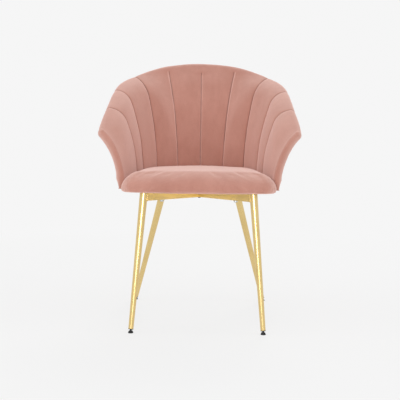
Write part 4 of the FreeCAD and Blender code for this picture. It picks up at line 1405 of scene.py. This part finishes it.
class Bolts(bpy.types.Operator):
    """Turn the frame bolts and the centre bolt with their hexagon sockets"""

    bl_idname = "scallop_chair.bolts"
    bl_label = "Bolts"

    POINTS = 36
    SHANK_RADIUS = 0.003
    FRAME_HEAD = (0.0055, 0.0045)
    CENTRE_HEAD = (0.0045, 0.003)

    def execute(self, context):
        sizes = settings().frame
        frame_bolts = Forms()
        for front, rear in bar_lines(sizes):
            along = (rear - front).normalized()
            for place in (front + along * sizes.front_bolt, rear - along * sizes.rear_bolt):
                self.bolt(frame_bolts, place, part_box("frame_bolts"), *self.FRAME_HEAD)
        centre = Forms()
        low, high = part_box("centre_bolt")
        place = Vector(((low.x + high.x) / 2, (low.y + high.y) / 2))
        self.bolt(centre, place, (low, high), *self.CENTRE_HEAD)
        zinc = finish_of("bright_zinc", zinc_plating)
        black = finish_of("blackened_steel", black_oxide)
        for forms, node, slot, metal in (
            (frame_bolts, "frame_bolts", "zinc_steel", zinc),
            (centre, "centre_bolt", "black_steel", black),
        ):
            piece = forms.piece(f"{node}_with_sockets", metal)
            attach(piece, CHAIR)
            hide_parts(node)
        return {"FINISHED"}

    def bolt(self, forms, place, box, head, height):
        """Rings from the bottom of the socket, over the head and up to the shank's end."""
        low, high = box[0].z, box[1].z
        shank = self.SHANK_RADIUS
        socket = 0.45 * head
        profile = (
            (socket * 0.4, low + height * 0.55, True),
            (socket, low + height * 0.55, True),
            (socket, low + 0.0002, True),
            (socket * 1.22, low, False),
            (head * 0.74, low, False),
            (head * 0.87, low + height * 0.12, False),
            (head * 0.96, low + height * 0.3, False),
            (head, low + height * 0.55, False),
            (head, low + height - 0.0002, False),
            (head - 0.0002, low + height, False),
            (shank, low + height, False),
            (shank, high - 0.0005, False),
            (shank - 0.0005, high, False),
        )
        rings = []
        for radius, z, six_sided in profile:
            ring = []
            for index in range(self.POINTS):
                turn = 2 * math.pi * index / self.POINTS
                corner = turn % (math.pi / 3) - math.pi / 6
                reach = radius / math.cos(corner) if six_sided else radius
                ring.append((place.x + reach * math.cos(turn), place.y + reach * math.sin(turn), z))
            rings.append(ring)
        forms.loft(rings)


class Welds(bpy.types.Operator):
    """Lay the weld beads where the cross bars meet the legs"""

    bl_idname = "scallop_chair.welds"
    bl_label = "Welds"

    BELOW_BAR_TOP = 0.002
    STEPS = 24

    def execute(self, context):
        sizes = settings().frame
        low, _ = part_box("cross_bar_left")
        forms = Forms()
        for number, (front, rear) in enumerate(bar_lines(sizes)):
            for top, other, foot in (
                (front, rear, (sizes.front_foot_out, -sizes.front_foot_forward)),
                (rear, front, (sizes.rear_foot_out, sizes.rear_foot_back)),
            ):
                foot = Vector((math.copysign(foot[0], top.x), foot[1]))
                self.bead(forms, sizes, top, other, foot, low.z, number)
        piece = forms.piece("weld_beads", finish_of("brass_legs", leg_brass))
        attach(piece, CHAIR)
        return {"FINISHED"}

    def bead(self, forms, sizes, top, other, foot, bar_low, seed):
        """One bead up a side of the bar, under it and up the other side, against the leg."""
        along = (other - top).normalized()
        side = Vector((-along.y, along.x))
        half = sizes.bar_width / 2
        high = bar_low + sizes.bar_height - self.BELOW_BAR_TOP
        taper = sizes.leg_foot_radius - sizes.leg_top_radius
        corners = [(-half, high), (-half, bar_low), (half, bar_low), (half, high)]
        normals = [-side, Vector((0, 0)), side]
        path, outward = [], []
        for index in range(3):
            (off_a, z_a), (off_b, z_b) = corners[index], corners[index + 1]
            for step in range(1, self.STEPS):
                part = step / self.STEPS
                off, z = off_a + (off_b - off_a) * part, z_a + (z_b - z_a) * part
                drop = (high - z) / high
                centre = top.lerp(foot, drop)
                radius = sizes.leg_top_radius + taper * drop
                start = top + side * off - centre
                room = start.dot(along) ** 2 - start.dot(start) + radius**2
                reach = -start.dot(along) + math.sqrt(max(room, 0.0))
                place = top + side * off + along * reach
                path.append((place.x, place.y, z))
                normal = normals[index]
                outward.append((normal.x, normal.y, -1.0 if index == 1 else 0.0))
        path, outward = np.array(path), np.array(outward)
        steps = np.arange(len(path))
        ripple = 1 + 0.14 * np.sin(steps * 1.9 + seed) + 0.06 * np.sin(steps * 0.7)
        forms.strand(path, outward, sizes.bead * ripple, 1.0, 10, 0.3)


class FrameFinishes(bpy.types.Operator):
    """Give every part of the frame its own finish"""

    bl_idname = "scallop_chair.frame_finishes"
    bl_label = "Frame Finishes"

    def execute(self, context):
        colours = settings().colours
        legs = finish_of("brass_legs", leg_brass)
        along_bar = (0.015, 1, 1)
        left_bar = brass("brass_left_bar", colours, along_bar, -self.bar_turn("left"))
        right_bar = brass("brass_right_bar", colours, along_bar, self.bar_turn("right"))
        zinc = finish_of("bright_zinc", zinc_plating)
        black = finish_of("blackened_steel", black_oxide)
        plastic = moulded("black_moulding", colours.plastic, 0.5)
        core = moulded("core_moulding", colours.core, 0.55, 600)
        wood = plywood(colours)
        by_ending = (
            ("_leg", legs),
            ("_leg_cap", legs),
            ("cross_bar_left", left_bar),
            ("cross_bar_right", right_bar),
            ("_foot_insert", plastic),
            ("_glide_pad", plastic),
            ("_glide_stud", black),
            ("_bracket", zinc),
            ("_screws", zinc),
            ("frame_washers", zinc),
            ("tee_nuts", zinc),
            ("seat_board", wood),
            ("back_core", core),
        )
        for name, node in frame["nodes"].items():
            for ending, material in by_ending:
                if name.endswith(ending):
                    for slot in node.material_slots:
                        slot.material = material
        return {"FINISHED"}

    @staticmethod
    def bar_turn(side):
        """How far a cross bar runs from X towards Y, seen from above."""
        low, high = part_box(f"cross_bar_{side}")
        return math.atan2(high.y - low.y, high.x - low.x)


class Stage(bpy.types.Operator):
    """Lay the pale floor, hang the soft lamps and set up the camera"""

    bl_idname = "scallop_chair.stage"
    bl_label = "Stage"

    FLOOR_POINTS = 96
    FLOOR_RINGS = (0.6, 1.2, 2.4, 4.8)
    SPECKS = (0.86, 0.86, 0.86)
    LAMPS_AIM = (0, 0, 0.5)

    def execute(self, context):
        stage = settings().stage
        bpy.context.scene.view_settings.view_transform = "Standard"
        self.floor(stage)
        self.world(stage)
        self.lamp("left_lamp", (-2.3, -0.7, 1.9), 1.3, stage.side_power)
        self.lamp("right_lamp", (2.3, -0.7, 1.9), 1.3, stage.side_power * 0.9)
        self.lamp("top_lamp", (0.0, -0.5, 2.9), 1.5, stage.top_power)
        self.lamp("back_lamp", (0.5, 2.2, 2.2), 1.4, stage.back_power)
        self.lamp("front_lamp", (-0.2, -3.3, 0.8), 1.0, stage.front_power)
        self.camera(stage)
        return {"FINISHED"}

    def floor(self, stage):
        count = self.FLOOR_POINTS
        rings = (*self.FLOOR_RINGS, stage.floor_radius)
        points = [(0.0, 0.0, 0.0)]
        for radius in rings:
            for index in range(count):
                turn = 2 * math.pi * index / count
                points.append((radius * math.cos(turn), radius * math.sin(turn), 0.0))
        faces = [[0, 1 + i, 1 + (i + 1) % count] for i in range(count)]
        for ring in range(len(rings) - 1):
            inner, outer = 1 + ring * count, 1 + (ring + 1) * count
            for i in range(count):
                j = (i + 1) % count
                faces.append([inner + i, outer + i, outer + j, inner + j])
        finish = Finish("studio_floor")
        distance = finish.node(
            "ShaderNodeVectorMath", {"operation": "LENGTH"}, {0: finish.place}, output="Value"
        )
        far = finish.range(distance, 0.6, 2.2, 0.8, 1.0)
        grain = finish.noise(180, 2)
        tint = finish.mix(finish.range(grain, 0.3, 0.7) * 0.03, stage.floor, self.SPECKS)
        matt = finish.node("ShaderNodeBsdfDiffuse", None, {"Color": tint})
        glow = finish.node("ShaderNodeEmission", None, {"Color": stage.floor, "Strength": 1.0})
        blend = {0: far * seen(finish), 1: matt, 2: glow}
        blended = finish.node("ShaderNodeMixShader", None, blend)
        floor = new_piece("studio_floor", points, faces, finish.output(blended))

    def world(self, stage):
        finish = Finish("daylight", bpy.data.worlds, "ShaderNodeOutputWorld")
        white = {"Color": (1.0, 1.0, 1.0), "Strength": stage.daylight}
        light = finish.node("ShaderNodeBackground", None, white)
        shown = {"Color": stage.floor, "Strength": 1.0}
        backdrop = finish.node("ShaderNodeBackground", None, shown)
        mixed = finish.node("ShaderNodeMixShader", None, {0: seen(finish), 1: light, 2: backdrop})
        bpy.context.scene.world = finish.output(mixed)

    def lamp(self, name, place, size, power):
        data = bpy.data.lights.new(name, "AREA")
        data.shape = "DISK"
        data.size = size
        data.energy = power
        lamp = bpy.data.objects.new(name, data)
        lamp.location = place
        aim = Vector(self.LAMPS_AIM) - Vector(place)
        lamp.rotation_euler = aim.to_track_quat("-Z", "Y").to_euler()
        bpy.context.scene.collection.objects.link(lamp)

    def camera(self, stage):
        data = bpy.data.cameras.new("photo_camera")
        data.sensor_width = 36
        data.lens = stage.camera_lens
        camera = bpy.data.objects.new("photo_camera", data)
        turn = Matrix.Rotation(-stage.camera_yaw, 3, "Z")
        tilt = Matrix.Rotation(math.pi / 2 - stage.camera_pitch, 3, "X")
        roll = Matrix.Rotation(stage.camera_roll, 3, "Z")
        camera.rotation_euler = (turn @ tilt @ roll).to_euler()
        camera.location = stage.camera_place
        bpy.context.scene.collection.objects.link(camera)
        bpy.context.scene.camera = camera


# Panel and registration

PIECES = (
    ChannelledBack,
    OuterBack,
    SeamThread,
    SeatCushion,
    DustCloth,
    Staples,
    Bolts,
    Welds,
    FrameFinishes,
    Stage,
)


class ChairPanel(bpy.types.Panel):
    """Lists the chair's pieces in the sidebar"""

    bl_idname = "VIEW3D_PT_scallop_chair"
    bl_label = "Scallop Back Chair"
    bl_space_type = "VIEW_3D"
    bl_region_type = "UI"
    bl_category = "Chair"

    def draw(self, context):
        column = self.layout.column(align=True)
        for piece in PIECES:
            column.operator(piece.bl_idname)


SETTINGS = (TubSizes, SeatSizes, FrameSizes, Colours, StageSettings, ChairSettings)
CLASSES = (*SETTINGS, *PIECES, ChairPanel)


def register():
    for item in CLASSES:
        bpy.utils.register_class(item)
    bpy.types.Scene.scallop_chair = PointerProperty(type=ChairSettings)


def unregister():
    del bpy.types.Scene.scallop_chair
    for item in reversed(CLASSES):
        bpy.utils.unregister_class(item)


def main():
    register()
    bpy.ops.scallop_chair.channelled_back()
    bpy.ops.scallop_chair.outer_back()
    bpy.ops.scallop_chair.seam_thread()
    bpy.ops.scallop_chair.seat_cushion()
    bpy.ops.scallop_chair.dust_cloth()
    bpy.ops.scallop_chair.staples()
    bpy.ops.scallop_chair.bolts()
    bpy.ops.scallop_chair.welds()
    bpy.ops.scallop_chair.frame_finishes()
    bpy.ops.scallop_chair.stage()


if __name__ == "__main__":
    main()
